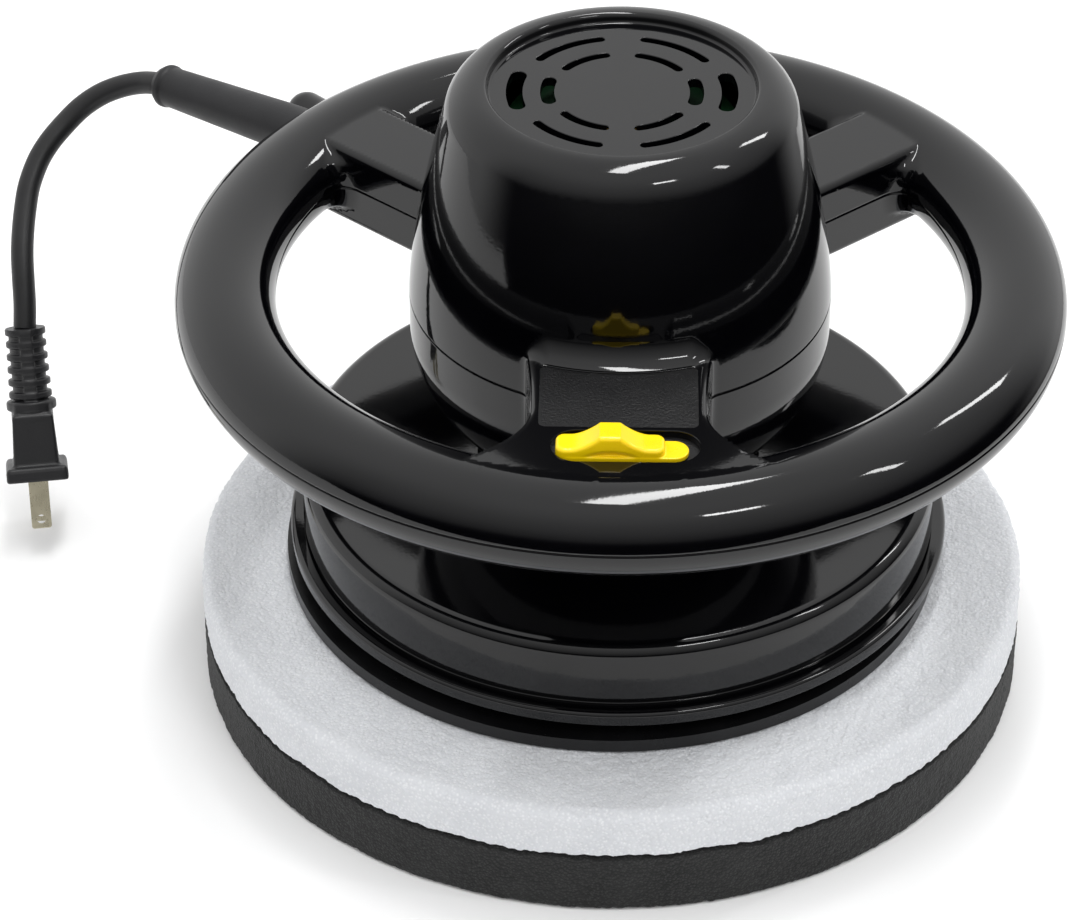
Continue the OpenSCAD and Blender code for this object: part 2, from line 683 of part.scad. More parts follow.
// ---- Rotor ----
module motor_shaft() color("#c9cbcd") {
    translate([0, 0, shaft_z[0]]) cylinder(r = shaft_r, h = shaft_z[1] - shaft_z[0]);
}
module armature_core() color("#6b6e72") {
    difference() {
        translate([0, 0, core_z[0]]) pipe(24, shaft_r + eps, core_z[1] - core_z[0]);
        for (a = [0 : 30 : 330]) rotate(a) {
            translate([19.5, 0, core_z[0] - 1]) cylinder(r = 2.6, h = 60, $fn = 32);
            translate([19.5, -0.9, core_z[0] - 1]) cube([10, 1.8, 60]);
        }
    }
}
module armature_windings() color("#a8562a") {
    for (z = [core_z[0] - 8, core_z[1] + eps]) translate([0, 0, z]) rotate_extrude()
        translate([12.5, 4 - eps / 2]) polygon([
            for (i = [0 : 23]) let (a = 15 * i) [7.5 * cos(a), 4 * sin(a) * (1 - eps / 4)]
        ]);
}
module commutator() color("#b8743a") {
    difference() {
        translate([0, 0, commutator_z]) pipe(commutator_r, shaft_r + eps, 12);
        for (a = [0 : 30 : 330]) rotate(a) translate([9.5, -0.3, commutator_z - 1]) cube([5, 0.6, 14]);
    }
}
module motor_bearing_inner() color("#c4c6c8") {
    translate([0, 0, motor_bearing_z + eps]) bearing_inner(motor_bearing);
}
module cooling_fan() color("#e4e2da") {
    difference() {
        union() {
            translate([0, 0, fan_z]) cylinder(r = 33, h = fan_disc_t);
            translate([0, 0, fan_z]) cylinder(r = 9, h = 9);
            for (a = [0 : 40 : 320]) rotate(a) translate([8, 0, fan_z + 0.5]) rotate(-14) cube([24, 1.6, 8]);
        }
        translate([0, 0, 70]) cylinder(r = shaft_r + eps, h = 30);
    }
}
module counterweight() color("#8f9296") {
    difference() {
        union() {
            translate([0, 0, weight_hub_z]) cylinder(r = 12, h = 15.5);
            on_pad_axis() translate([0, 0, 49]) cylinder(r = 20, h = 14);
            // lobe on the side away from the pad axis
            translate([0, 0, 54]) linear_extrude(11) intersection() {
                circle(r = weight_r);
                rotate(orbit_angle + 180) translate([0, -34]) square([60, 68]);
            }
        }
        translate([0, 0, 64.3]) cylinder(r = shaft_r + eps, h = 30);
        on_pad_axis() {
            translate([0, 0, 40]) cylinder(r = orbit_bearing[1] + eps, h = 19.7);
            translate([0, 0, 40]) cylinder(r = 13, h = 23);
            translate([0, 0, 49.3]) cylinder(r = orbit_bearing[1] + 1, h = 1.3);
        }
        for (a = [0, 90]) rotate(a) translate([0, 0, weight_hub_z + 10]) rotate([0, 90, 0])
            cylinder(r = 2.5, h = 20, $fn = 32);
    }
}
module set_screws() color("#4a4a4c") {
    for (a = [0, 90]) rotate(a) translate([shaft_r + eps, 0, weight_hub_z + 10]) rotate([0, 90, 0])
        difference() {
            cylinder(r = 2.45, h = 7.5, $fn = 32);
            translate([0, 0, 4.5]) cylinder(r = 1.3, h = 5, $fn = 6);
        }
}
module orbit_bearing_outer() color("#c4c6c8") {
    on_pad_axis() translate([0, 0, orbit_bearing_z]) bearing_outer(orbit_bearing);
}
module orbit_bearing_balls() color("#e0e0e0") {
    on_pad_axis() translate([0, 0, orbit_bearing_z]) bearing_balls_of(orbit_bearing);
}
module outer_circlip() color("#4a4a4c") {
    on_pad_axis() translate([0, 0, 49.4]) difference() {
        pipe(orbit_bearing[1] + 0.9, 14.6, 1.1);
        translate([10, -3, -1]) cube([10, 6, 4]);
    }
}

// ---- Pad ----
module orbit_bearing_inner() color("#c4c6c8") {
    on_pad_axis() translate([0, 0, orbit_bearing_z]) bearing_inner(orbit_bearing);
}
module pad_spindle() color("#b9bbbd") {
    on_pad_axis() difference() {
        union() {
            translate([0, 0, plate_top + eps]) cylinder(r = 20, h = 3.4);
            translate([0, 0, plate_top + eps]) cylinder(r = 9, h = orbit_bearing_z - plate_top - 2 * eps);
            translate([0, 0, plate_top + eps]) cylinder(r = orbit_bearing[0], h = 62 - plate_top);
        }
        translate([0, 0, 59.7]) pipe(9, 6.9, 1.3);
        ring_of(4, plate_screw_circle) translate([0, 0, plate_top - 1]) cylinder(r = 1.8, h = 8, $fn = 24);
    }
}
module inner_circlip() color("#4a4a4c") {
    on_pad_axis() translate([0, 0, 59.8]) difference() {
        pipe(9, 6.95, 1.1);
        translate([5, -2, -1]) cube([6, 4, 4]);
    }
}
module plate_screws() color("#8c8c90") {
    on_pad_axis() ring_of(4, plate_screw_circle) translate([0, 0, foam_top + 1.9]) {
        translate([0, 0, -1.8]) cylinder(r = 3.5, h = 1.8, $fn = 32);
        cylinder(r = 1.75, h = 5.4, $fn = 24);
    }
}
module backing_plate() color("#1f1f21") {
    on_pad_axis() difference() {
        union() {
            translate([0, 0, foam_top]) cylinder(r = plate_r, h = plate_h, $fn = 160);
            for (a = [0 : 30 : 330]) rotate(a) translate([21, -1.2, plate_top - 0.5]) cube([68, 2.4, 3]);
            translate([0, 0, plate_top - 0.5]) pipe(90, 87.5, 3);
        }
        ring_of(4, plate_screw_circle) {
            translate([0, 0, foam_top - 1]) cylinder(r = 2, h = 10, $fn = 24);
            translate([0, 0, foam_top - 1]) cylinder(r = 3.8, h = 2.9, $fn = 32);
        }
    }
}
module foam_white() color("#f2f4f6") {
    edge = 4;
    on_pad_axis() rotate_extrude($fn = 160) polygon(concat(
        [[0, dark_foam_h], [pad_r, dark_foam_h]],
        arc([pad_r - edge, foam_top - edge], edge, 0, 90, 6),
        [[0, foam_top]]
    ));
}
module foam_dark() color("#3b3d40") {
    edge = 1.5;
    on_pad_axis() rotate_extrude($fn = 160) polygon(concat(
        [[0, 0]],
        arc([pad_r - edge, edge], edge, -90, 0, 4),
        [[pad_r, dark_foam_h], [0, dark_foam_h]]
    ));
}

upper_housing();
lower_housing();
shroud();
housing_screws();
shroud_screws();
motor_mount_plate();
mount_plate_screws();
motor_screws();
motor_can();
field_magnets();
motor_damper_ring();
end_bell();
through_bolts();
top_bush();
brush_holders();
carbon_brushes();
brush_springs();
motor_bearing_outer();
motor_bearing_balls();
rectifier_board();
rectifier_bridge();
noise_capacitor();
board_standoffs();
switch_body();
switch_screws();
switch_slider();
switch_toggle();
strain_relief();
cord_clamp();
cord_clamp_screws();
inner_lead();
inner_wires();
power_cord();
plug_body();
plug_blades();
motor_shaft();
armature_core();
armature_windings();
commutator();
motor_bearing_inner();
cooling_fan();
counterweight();
set_screws();
orbit_bearing_outer();
orbit_bearing_balls();
outer_circlip();
orbit_bearing_inner();
pad_spindle();
inner_circlip();
plate_screws();
backing_plate();
foam_white();
foam_dark();
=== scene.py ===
"""Rotary polisher: the visible shells, foam pad, switch slider, boot, cord and plug around the CAD frame."""

import json
import math

import bmesh
import bpy
import numpy as np
from mathutils import Matrix, Vector


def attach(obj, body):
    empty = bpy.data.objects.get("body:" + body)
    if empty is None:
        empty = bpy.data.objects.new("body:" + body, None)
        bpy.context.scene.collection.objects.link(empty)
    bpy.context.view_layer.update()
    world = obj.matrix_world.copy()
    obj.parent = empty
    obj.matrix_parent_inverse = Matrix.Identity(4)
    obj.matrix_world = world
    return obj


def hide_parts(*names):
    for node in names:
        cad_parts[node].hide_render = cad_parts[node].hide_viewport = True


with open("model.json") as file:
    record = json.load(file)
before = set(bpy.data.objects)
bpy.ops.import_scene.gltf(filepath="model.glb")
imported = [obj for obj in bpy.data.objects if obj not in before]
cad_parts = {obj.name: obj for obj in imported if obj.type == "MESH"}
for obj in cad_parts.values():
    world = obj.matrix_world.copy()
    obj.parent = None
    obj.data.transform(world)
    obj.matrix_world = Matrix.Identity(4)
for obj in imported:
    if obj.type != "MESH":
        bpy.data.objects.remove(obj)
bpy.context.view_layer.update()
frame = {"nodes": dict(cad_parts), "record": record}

MM = 0.001  # the sizes below are in millimetres, as in the CAD model

# ---- Camera ----
CAMERA_PLACE = (0.0, -985.05, 795.33)
CAMERA_YAW = -0.0256
CAMERA_PITCH = 0.6362
CAMERA_ROLL = -0.0043
CAMERA_LENS = 134.76


def make_camera():
    """The camera at the photograph's viewing angle."""
    cp, sp = math.cos(CAMERA_PITCH), math.sin(CAMERA_PITCH)
    forward = np.array([math.sin(CAMERA_YAW) * cp, math.cos(CAMERA_YAW) * cp, -sp])
    right = np.cross(forward, [0, 0, 1])
    right /= np.linalg.norm(right)
    up = np.cross(right, forward)
    cr, sr = math.cos(CAMERA_ROLL), math.sin(CAMERA_ROLL)
    x_axis = cr * right + sr * up
    y_axis = cr * up - sr * right
    turn = Matrix([list(row) for row in np.column_stack([x_axis, y_axis, -forward])])
    data = bpy.data.cameras.new("camera")
    data.lens = CAMERA_LENS
    data.sensor_width = 36
    data.sensor_fit = "HORIZONTAL"
    data.clip_start = 0.05
    data.clip_end = 50
    camera = bpy.data.objects.new("camera", data)
    camera.matrix_world = Matrix.Translation([v * MM for v in CAMERA_PLACE]) @ turn.to_4x4()
    bpy.context.scene.collection.objects.link(camera)
    bpy.context.scene.camera = camera


make_camera()


# ---- Materials ----
class Shader:
    """A Principled material whose colour, roughness and bump come from nodes."""

    def __init__(self, name, **sockets):
        self.material = bpy.data.materials.new(name)
        self.material.use_nodes = True
        self.nodes = self.material.node_tree.nodes
        self.links = self.material.node_tree.links
        self.main = self.nodes["Principled BSDF"]
        for key, value in sockets.items():
            self.main.inputs[key.replace("_", " ")].default_value = value
        self.place = self.nodes.new("ShaderNodeTexCoord").outputs["Object"]
        self.bump_normal = None

    def stretched(self, scale):
        """The object coordinates scaled by (x, y, z)."""
        node = self.nodes.new("ShaderNodeMapping")
        node.inputs["Scale"].default_value = scale
        self.links.new(self.place, node.inputs["Vector"])
        return node.outputs["Vector"]

    def noise(self, scale, detail=3.0, rough=0.55, vector=None):
        node = self.nodes.new("ShaderNodeTexNoise")
        node.inputs["Scale"].default_value = scale
        node.inputs["Detail"].default_value = detail
        node.inputs["Roughness"].default_value = rough
        self.links.new(vector or self.place, node.inputs["Vector"])
        return node.outputs["Fac"]

    def cells(self, scale):
        node = self.nodes.new("ShaderNodeTexVoronoi")
        node.inputs["Scale"].default_value = scale
        self.links.new(self.place, node.inputs["Vector"])
        return node.outputs["Distance"]

    def ramp(self, value, low, high, out_low, out_high):
        node = self.nodes.new("ShaderNodeMapRange")
        for key, number in zip(("From Min", "From Max", "To Min", "To Max"), (low, high, out_low, out_high)):
            node.inputs[key].default_value = number
        self.links.new(value, node.inputs["Value"])
        return node.outputs["Result"]

    def mix_colour(self, factor, first, second):
        node = self.nodes.new("ShaderNodeMix")
        node.data_type = "RGBA"
        self.links.new(factor, node.inputs["Factor"])
        for socket, colour in ((node.inputs[6], first), (node.inputs[7], second)):
            if isinstance(colour, tuple):
                socket.default_value = (*colour, 1)
            else:
                self.links.new(colour, socket)
        return node.outputs[2]

    def times(self, a, b):
        node = self.nodes.new("ShaderNodeMath")
        node.operation = "MULTIPLY"
        self.links.new(a, node.inputs[0])
        if isinstance(b, float):
            node.inputs[1].default_value = b
        else:
            self.links.new(b, node.inputs[1])
        return node.outputs[0]

    def colour(self, value):
        self.links.new(value, self.main.inputs["Base Color"])

    def roughness(self, value):
        self.links.new(value, self.main.inputs["Roughness"])

    def bump(self, height, distance, strength=1.0):
        node = self.nodes.new("ShaderNodeBump")
        node.inputs["Distance"].default_value = distance
        node.inputs["Strength"].default_value = strength
        self.links.new(height, node.inputs["Height"])
        if self.bump_normal:
            self.links.new(self.bump_normal, node.inputs["Normal"])
        self.bump_normal = node.outputs["Normal"]
        self.links.new(self.bump_normal, self.main.inputs["Normal"])


def gloss_plastic(name, dark, light, rough):
    """Injection-moulded plastic: faint moulding waves, orange peel, dust and fine rubbing marks."""
    s = Shader(name, Specular_IOR_Level=0.5, IOR=1.5)
    clouds = s.noise(28, 4)
    s.colour(s.mix_colour(s.ramp(clouds, 0.3, 0.7, 0, 1), dark, light))
    smears = s.noise(46, 5, 0.62, s.stretched((1, 1, 0.45)))
    s.roughness(s.ramp(smears, 0.3, 0.75, rough * 0.75, rough * 1.6))
    s.bump(s.noise(26, 1), 0.00035, 0.25)
    s.bump(s.noise(900, 2), 0.00002, 0.35)
    return s.material


def matte_plastic(name, dark, light, rough, grain=1500, depth=0.00009):
    """Spark-textured or rubbery plastic: a fine even grain with a worn sheen."""
    s = Shader(name, Specular_IOR_Level=0.45)
    s.colour(s.mix_colour(s.ramp(s.noise(60, 5), 0.3, 0.7, 0, 1), dark, light))
    s.roughness(s.ramp(s.noise(110, 4), 0.25, 0.75, rough * 0.82, min(1.0, rough * 1.18)))
    s.bump(s.noise(grain, 3, 0.7), depth, 0.7)
    return s.material


def bare_metal(name, dark, light, rough, grain=(1, 1, 1), scale=700):
    """Metal with a turned, brushed or cast grain and patchy tarnish."""
    s = Shader(name, Metallic=1.0)
    s.colour(s.mix_colour(s.ramp(s.noise(120, 5), 0.3, 0.72, 0, 1), dark, light))
    lines = s.noise(scale, 4, 0.6, s.stretched(grain))
    s.roughness(s.ramp(lines, 0.3, 0.7, rough * 0.7, min(1.0, rough * 1.35)))
    s.bump(lines, 0.00003, 0.5)
    return s.material


def open_foam(name, pore_shade, strut, cell, rough, sheen):
    """Open-cell foam: struts round pores darkened with painted shade, over a soft uneven skin."""
    s = Shader(name, Roughness=rough, Specular_IOR_Level=0.2, Sheen_Weight=sheen, Sheen_Roughness=0.6)
    pores = s.cells(1 / cell)
    fuzz = s.noise(1.7 / cell, 4, 0.7)
    fill = s.times(s.ramp(pores, 0.05, 0.5, 1, 0), s.ramp(fuzz, 0.35, 0.65, 0.55, 1))
    soft = s.ramp(s.noise(55, 4), 0.35, 0.7, 0.0, 1.0)
    # the darker pore colour is painted shade in the cells' hollows, not the foam's own colour
    s.colour(s.mix_colour(s.times(s.ramp(fill, 0, 0.8, 0.9, 0), s.ramp(soft, 0, 1, 0.75, 1)), strut, pore_shade))
    s.bump(pores, cell * 0.5, 0.55)
    s.bump(fuzz, cell * 0.5, 0.5)
    return s.material


def layered(name, first, second, gap):
    """Stacked laminations: fine parallel lines across Z."""
    s = Shader(name, Metallic=0.9)
    lines = s.nodes.new("ShaderNodeTexWave")
    lines.bands_direction = "Z"
    lines.inputs["Scale"].default_value = 1 / gap
    lines.inputs["Distortion"].default_value = 0.4
    s.links.new(s.place, lines.inputs["Vector"])
    s.colour(s.mix_colour(lines.outputs["Fac"], first, second))
    s.roughness(s.ramp(s.noise(300, 3), 0.3, 0.7, 0.35, 0.6))
    s.bump(lines.outputs["Fac"], 0.0001, 0.6)
    return s.material


def winding(name, dark, light):
    """Lacquered copper wire, wound side by side."""
    s = Shader(name, Metallic=0.85, Coat_Weight=0.6, Coat_Roughness=0.15)
    strands = s.nodes.new("ShaderNodeTexWave")
    strands.bands_direction = "DIAGONAL"
    strands.inputs["Scale"].default_value = 620
    strands.inputs["Distortion"].default_value = 2.5
    s.links.new(s.place, strands.inputs["Vector"])
    s.colour(s.mix_colour(strands.outputs["Fac"], dark, light))
    s.roughness(s.ramp(s.noise(200, 3), 0.3, 0.7, 0.28, 0.5))
    s.bump(strands.outputs["Fac"], 0.0003, 0.8)
    return s.material


SLOTS = {
    "housing_black": gloss_plastic("housing_black", (0.0005, 0.0005, 0.0009), (0.0012, 0.0012, 0.0018), 0.05),
    "shroud_black": gloss_plastic("shroud_black", (0.0007, 0.0007, 0.0011), (0.0016, 0.0016, 0.0021), 0.06),
    "plate_black": matte_plastic("plate_black", (0.003, 0.003, 0.0034), (0.006, 0.006, 0.0065), 0.3),
    "switch_yellow": gloss_plastic("switch_yellow", (0.9, 0.6, 0.002), (0.96, 0.68, 0.003), 0.22),
    "cord_black": matte_plastic("cord_black", (0.006, 0.006, 0.0065), (0.011, 0.011, 0.012), 0.4, 1100),
    "boot_black": matte_plastic("boot_black", (0.003, 0.003, 0.004), (0.006, 0.006, 0.0075), 0.46, 1300),
    "plug_black": matte_plastic("plug_black", (0.005, 0.005, 0.006), (0.01, 0.01, 0.011), 0.42, 1300),
    "blade_nickel": bare_metal("blade_nickel", (0.46, 0.42, 0.3), (0.66, 0.61, 0.46), 0.3, (1, 1, 0.05), 900),
    "foam_white": open_foam("foam_white", (0.62, 0.635, 0.665), (0.8, 0.81, 0.83), 0.0011, 0.85, 0.15),
    "foam_charcoal": open_foam(
        "foam_charcoal", (0.006, 0.0062, 0.0062), (0.036, 0.037, 0.037), 0.0009, 0.9, 0.1
    ),
    "steel": bare_metal("steel", (0.42, 0.43, 0.44), (0.6, 0.6, 0.61), 0.3),
    "dark_steel": bare_metal("dark_steel", (0.05, 0.05, 0.055), (0.11, 0.11, 0.115), 0.42),
    "cast_metal": bare_metal("cast_metal", (0.36, 0.37, 0.38), (0.52, 0.52, 0.53), 0.55, (1, 1, 1), 420),
    "laminations": layered("laminations", (0.12, 0.12, 0.13), (0.3, 0.3, 0.31), 0.0008),
    "magnet_grey": matte_plastic("magnet_grey", (0.025, 0.025, 0.027), (0.06, 0.06, 0.062), 0.6, 900),
    "copper": winding("copper", (0.42, 0.13, 0.04), (0.72, 0.28, 0.09)),
    "brass": bare_metal("brass", (0.52, 0.35, 0.12), (0.72, 0.52, 0.22), 0.33),
    "carbon": matte_plastic("carbon", (0.01, 0.01, 0.011), (0.03, 0.03, 0.032), 0.45, 1800),
    "phenolic": matte_plastic("phenolic", (0.07, 0.03, 0.012), (0.13, 0.06, 0.025), 0.4, 500),
    "board_green": matte_plastic("board_green", (0.003, 0.02, 0.007), (0.006, 0.035, 0.012), 0.35, 700),
    "component_black": matte_plastic(
        "component_black", (0.012, 0.012, 0.012), (0.025, 0.025, 0.025), 0.5, 1600
    ),
    "capacitor_yellow": gloss_plastic("capacitor_yellow", (0.62, 0.32, 0.01), (0.75, 0.42, 0.015), 0.25),
    "nylon_white": matte_plastic("nylon_white", (0.6, 0.58, 0.52), (0.74, 0.72, 0.66), 0.45, 900),
    "wire_insulation": matte_plastic("wire_insulation", (0.02, 0.02, 0.022), (0.05, 0.05, 0.052), 0.4, 900),
    "damper_rubber": matte_plastic("damper_rubber", (0.008, 0.008, 0.009), (0.02, 0.02, 0.021), 0.75, 1100),
}
PANEL = matte_plastic("panel_texture", (0.0016, 0.0016, 0.002), (0.004, 0.004, 0.0045), 0.36, 1200, 0.0003)

for part in frame["record"]["subparts"]:
    node = frame["nodes"][part["node"]]
    for place in node.material_slots:
        place.material = SLOTS[part["material_slot"]]


# ---- Meshes ----
def add_object(name, mesh):
    piece = bpy.data.objects.new(name, mesh)
    bpy.context.scene.collection.objects.link(piece)
    return piece


def mesh_object(name, points, faces):
    """An object from points in millimetres and faces of any number of corners."""
    mesh = bpy.data.meshes.new(name)
    mesh.from_pydata((np.asarray(points, float) * MM).tolist(), [], [list(f) for f in faces])
    mesh.update()
    return add_object(name, mesh)


def quad_object(name, points, quads):
    """An object from an array of points in millimetres and an array of four-cornered faces."""
    mesh = bpy.data.meshes.new(name)
    mesh.vertices.add(len(points))
    mesh.vertices.foreach_set("co", (points * MM).astype(np.float32).ravel())
    mesh.loops.add(quads.size)
    mesh.loops.foreach_set("vertex_index", quads.astype(np.int32).ravel())
    mesh.polygons.add(len(quads))
    mesh.polygons.foreach_set("loop_start", np.arange(0, quads.size, 4, dtype=np.int32))
    mesh.update(calc_edges=True)
    mesh.validate()
    return add_object(name, mesh)


def corner_facts(mesh):
    """Per face corner: its vertex, and its face's normal."""
    vertex = np.empty(len(mesh.loops), np.int32)
    mesh.loops.foreach_get("vertex_index", vertex)
    normal = np.empty(3 * len(mesh.polygons), np.float32)
    mesh.polygons.foreach_get("normal", normal)
    count = np.empty(len(mesh.polygons), np.int32)
    mesh.polygons.foreach_get("loop_total", count)
    return vertex, np.repeat(normal.reshape(-1, 3), count, axis=0)


def place_array(mesh):
    places = np.empty(3 * len(mesh.vertices), np.float32)
    mesh.vertices.foreach_get("co", places)
    return places.reshape(-1, 3).astype(float) / MM


SHARP = math.radians(34)
ON_SURFACE = 0.06  # how near a vertex lies to the smooth surface whose normal it takes


def shade(piece, surface=None):
    """Smooth shading with sharp edges kept. Corners on the given surface take its exact normal."""
    piece.data.polygons.foreach_set("use_smooth", np.ones(len(piece.data.polygons), bool))
    piece.data.set_sharp_from_angle(angle=SHARP)
    modifier = piece.modifiers.new("weigh", "WEIGHTED_NORMAL")
    modifier.keep_sharp = True
    solver_result(piece, modifier)
    if surface is None:
        return
    mesh = piece.data
    normals = np.empty(3 * len(mesh.loops), np.float32)
    mesh.corner_normals.foreach_get("vector", normals)
    normals = normals.reshape(-1, 3)
    vertex, flat = corner_facts(mesh)
    points = place_array(mesh).T
    slope = gradient(surface, points)
    slope /= np.linalg.norm(slope, axis=0) + 1e-12
    near = np.abs(surface(*points)) < ON_SURFACE
    true = slope.T[vertex]
    take = near[vertex] & ((true * flat).sum(1) > math.cos(SHARP))
    normals[take] = true[take]
    mesh.normals_split_custom_set(normals.tolist())


def solver_result(target, modifier):
    graph = bpy.context.evaluated_depsgraph_get()
    mesh = bpy.data.meshes.new_from_object(target.evaluated_get(graph))
    target.modifiers.remove(modifier)
    old = target.data
    target.data = mesh
    bpy.data.meshes.remove(old)


def carve(target, tool, operation="DIFFERENCE"):
    """Joins a closed tool to the target, or cuts it from it, and removes the tool."""
    modifier = target.modifiers.new("carve", "BOOLEAN")
    modifier.object = tool
    modifier.operation = operation
    modifier.solver = "MANIFOLD"
    solver_result(target, modifier)
    bpy.data.objects.remove(tool)


def copy_of(piece, name):
    return add_object(name, piece.data.copy())


def levels(low, high, step):
    return low + step * np.arange(math.ceil((high - low) / step) + 1)


def gradient(f, points, h=0.01):
    slope = np.empty_like(points)
    for i in range(3):
        step = np.zeros((3, 1))
        step[i] = h
        slope[i] = (f(*(points + step)) - f(*(points - step))) / (2 * h)
    return slope


def surface_of(name, f, axes):
    """The closed surface f = 0 on a grid, with every vertex moved onto it."""
    values = np.stack([f(x, *np.meshgrid(axes[1], axes[2], indexing="ij")) for x in axes[0]])
    inside = values < 0
    cells = tuple(n - 1 for n in values.shape)
    indices, crossings = [], []
    for a in range(3):
        b, c = (a + 1) % 3, (a + 2) % 3
        first = [slice(None)] * 3
        second = [slice(None)] * 3
        first[a] = slice(0, -1)
        second[a] = slice(1, None)
        start = np.argwhere(inside[tuple(first)] != inside[tuple(second)])
        stop = start.copy()
        stop[:, a] += 1
        v0 = values[tuple(start.T)]
        v1 = values[tuple(stop.T)]
        point = np.stack([axes[i][start[:, i]] for i in range(3)], 1).astype(float)
        point[:, a] += v0 / (v0 - v1) * (axes[a][stop[:, a]] - axes[a][start[:, a]])
        corners = []
        for step_b, step_c in ((-1, -1), (0, -1), (0, 0), (-1, 0)):
            cell = start.copy()
            cell[:, b] += step_b
            cell[:, c] += step_c
            corners.append(np.ravel_multi_index(tuple(cell.T), cells))
        quad = np.stack(corners, 1)
        outward = inside[tuple(start.T)]
        quad[~outward] = quad[~outward][:, ::-1]
        indices.append(quad)
        crossings.append(np.repeat(point, 4, axis=0))
    quads = np.concatenate(indices)
    points = np.concatenate(crossings)
    kept, vertex = np.unique(quads.ravel(), return_inverse=True)
    vertex = vertex.ravel()
    count = np.bincount(vertex, minlength=len(kept))
    places = np.stack([np.bincount(vertex, points[:, i]) / count for i in range(3)])
    for _ in range(4):
        slope = gradient(f, places)
        places -= np.clip(f(*places) / (slope**2).sum(0), -1, 1) * slope
    return quad_object(name, places.T, vertex.reshape(-1, 4))


def turned(name, profile, sides, centre=(0, 0), matrix=None):
    """A closed solid of revolution from (radius, height) points, anticlockwise with Z up.

    The profile starts and ends on the axis, or it is a closed loop clear of it.
    """
    angles = 2 * math.pi * np.arange(sides) / sides
    points, rows = [], []
    for r, z in profile:
        if r < 1e-9:
            rows.append([len(points)] * sides)
            points.append((0, 0, z))
        else:
            rows.append([len(points) + j for j in range(sides)])
            points.extend(zip(r * np.cos(angles), r * np.sin(angles), [z] * sides))
    loop = profile[0][0] > 1e-9
    pairs = list(zip(rows, rows[1:])) + ([(rows[-1], rows[0])] if loop else [])
    faces = []
    for low, high in pairs:
        for j in range(sides):
            k = (j + 1) % sides
            face = [low[j], low[k], high[k], high[j]]
            faces.append(list(dict.fromkeys(face)))
    points = np.array(points, float)
    if matrix is not None:
        points = points @ np.array(matrix.to_3x3()).T + np.array(matrix.translation)
    points[:, :2] += centre
    return mesh_object(name, points, faces)


def arc(centre, radius, start, stop, steps):
    """Points of an arc as (radius, height), angles in degrees."""
    angles = np.radians(np.linspace(start, stop, steps + 1))
    return [(centre[0] + radius * math.cos(a), centre[1] + radius * math.sin(a)) for a in angles]


def lofted(name, outlines):
    """A closed solid through outlines of equal length, each a list of (x, y, z), lowest first."""
    n = len(outlines[0])
    points = [p for outline in outlines for p in outline]
    faces = [list(range(n))[::-1], list(range(len(points) - n, len(points)))]
    for i in range(len(outlines) - 1):
        for j in range(n):
            k = (j + 1) % n
            faces.append([i * n + j, i * n + k, (i + 1) * n + k, (i + 1) * n + j])
    return mesh_object(name, points, faces)


def cutter(name, outline, top, floor, edge):
    """A tool that cuts a pocket with softened edges. outline(grow) gives its (x, y) points."""
    rows = [(floor, 0.0), (top - edge, 0.0), (top - edge * 0.62, edge * 0.076)]
    rows += [(top - edge * 0.29, edge * 0.29), (top - edge * 0.076, edge * 0.62), (top + 0.02, edge * 0.9)]
    rows += [(top + 3.0, edge * 0.9 + 0.3)]
    return lofted(name, [[(x, y, z) for x, y in outline(grow)] for z, grow in rows])


def smooth_min(a, b, k):
    k = np.maximum(k, 1e-6)
    h = np.maximum(k - np.abs(a - b), 0) / k
    return np.minimum(a, b) - h * h * k / 4


def round_max(a, b, r):
    return np.hypot(np.maximum(a + r, 0), np.maximum(b + r, 0)) + np.minimum(np.maximum(a, b), -r)


def smooth_step(low, high, value):
    t = np.clip((value - low) / (high - low), 0, 1)
    return t * t * (3 - 2 * t)


def round_box(x, y, z, half, r):
    """Signed distance to a box with rounded edges."""
    q = [np.abs(v) - (h - r) for v, h in zip((x, y, z), half)]
    outside = np.sqrt(sum(np.maximum(v, 0) ** 2 for v in q))
    return outside + np.minimum(np.maximum(np.maximum(q[0], q[1]), q[2]), 0) - r


# ---- Housing: dome, bowl, ring handle and spokes ----
HOUSING_R = 62.4
DOME_TAPER = 10.4
SHOULDER_Z = 190.0
HOUSING_TOP = 202.0
CORNER_R = 8.0
PART_Z = 132.4
BOWL_Z = 122.0
BOWL_H = 49.0
NECK_Z = 86.0
DRUM_TOP = 72.0
WALL = 2.8
RING_R = 116.6
RING_HALF_W = 14.9
RING_HALF_H = 13.9
SPOKE_ANGLE = 40.0
SPOKE_HALF_W = 13.4
SPOKE_RISE = 12.1
FRONT_WAIST = 25.2
RECESS_R = 38.6
RECESS_DEPTH = 3.0
LUG_ANGLE = 136.0
LUG_R = 6.3
LUG_END = 138.0
BOOT_TIP = (-147.0, 115.0, 130.5)
BOOT_AZIMUTH = 142.0
BOOT_DROP = 5.0
BOOT_L = 68.0
BOOT_ROOT_R = 7.6
BOOT_TIP_R = 6.4
BODY_STEP = 1.2
CAVITY_STEP = 2.8
SEAM_DEPTH = 0.2
SEAM_HALF_W = 0.45
SEAM_GAP = 0.1


def dome_radius(z):
    t = np.maximum((z - PART_Z) / (SHOULDER_Z - PART_Z), 0)
    return HOUSING_R - DOME_TAPER * t**1.45


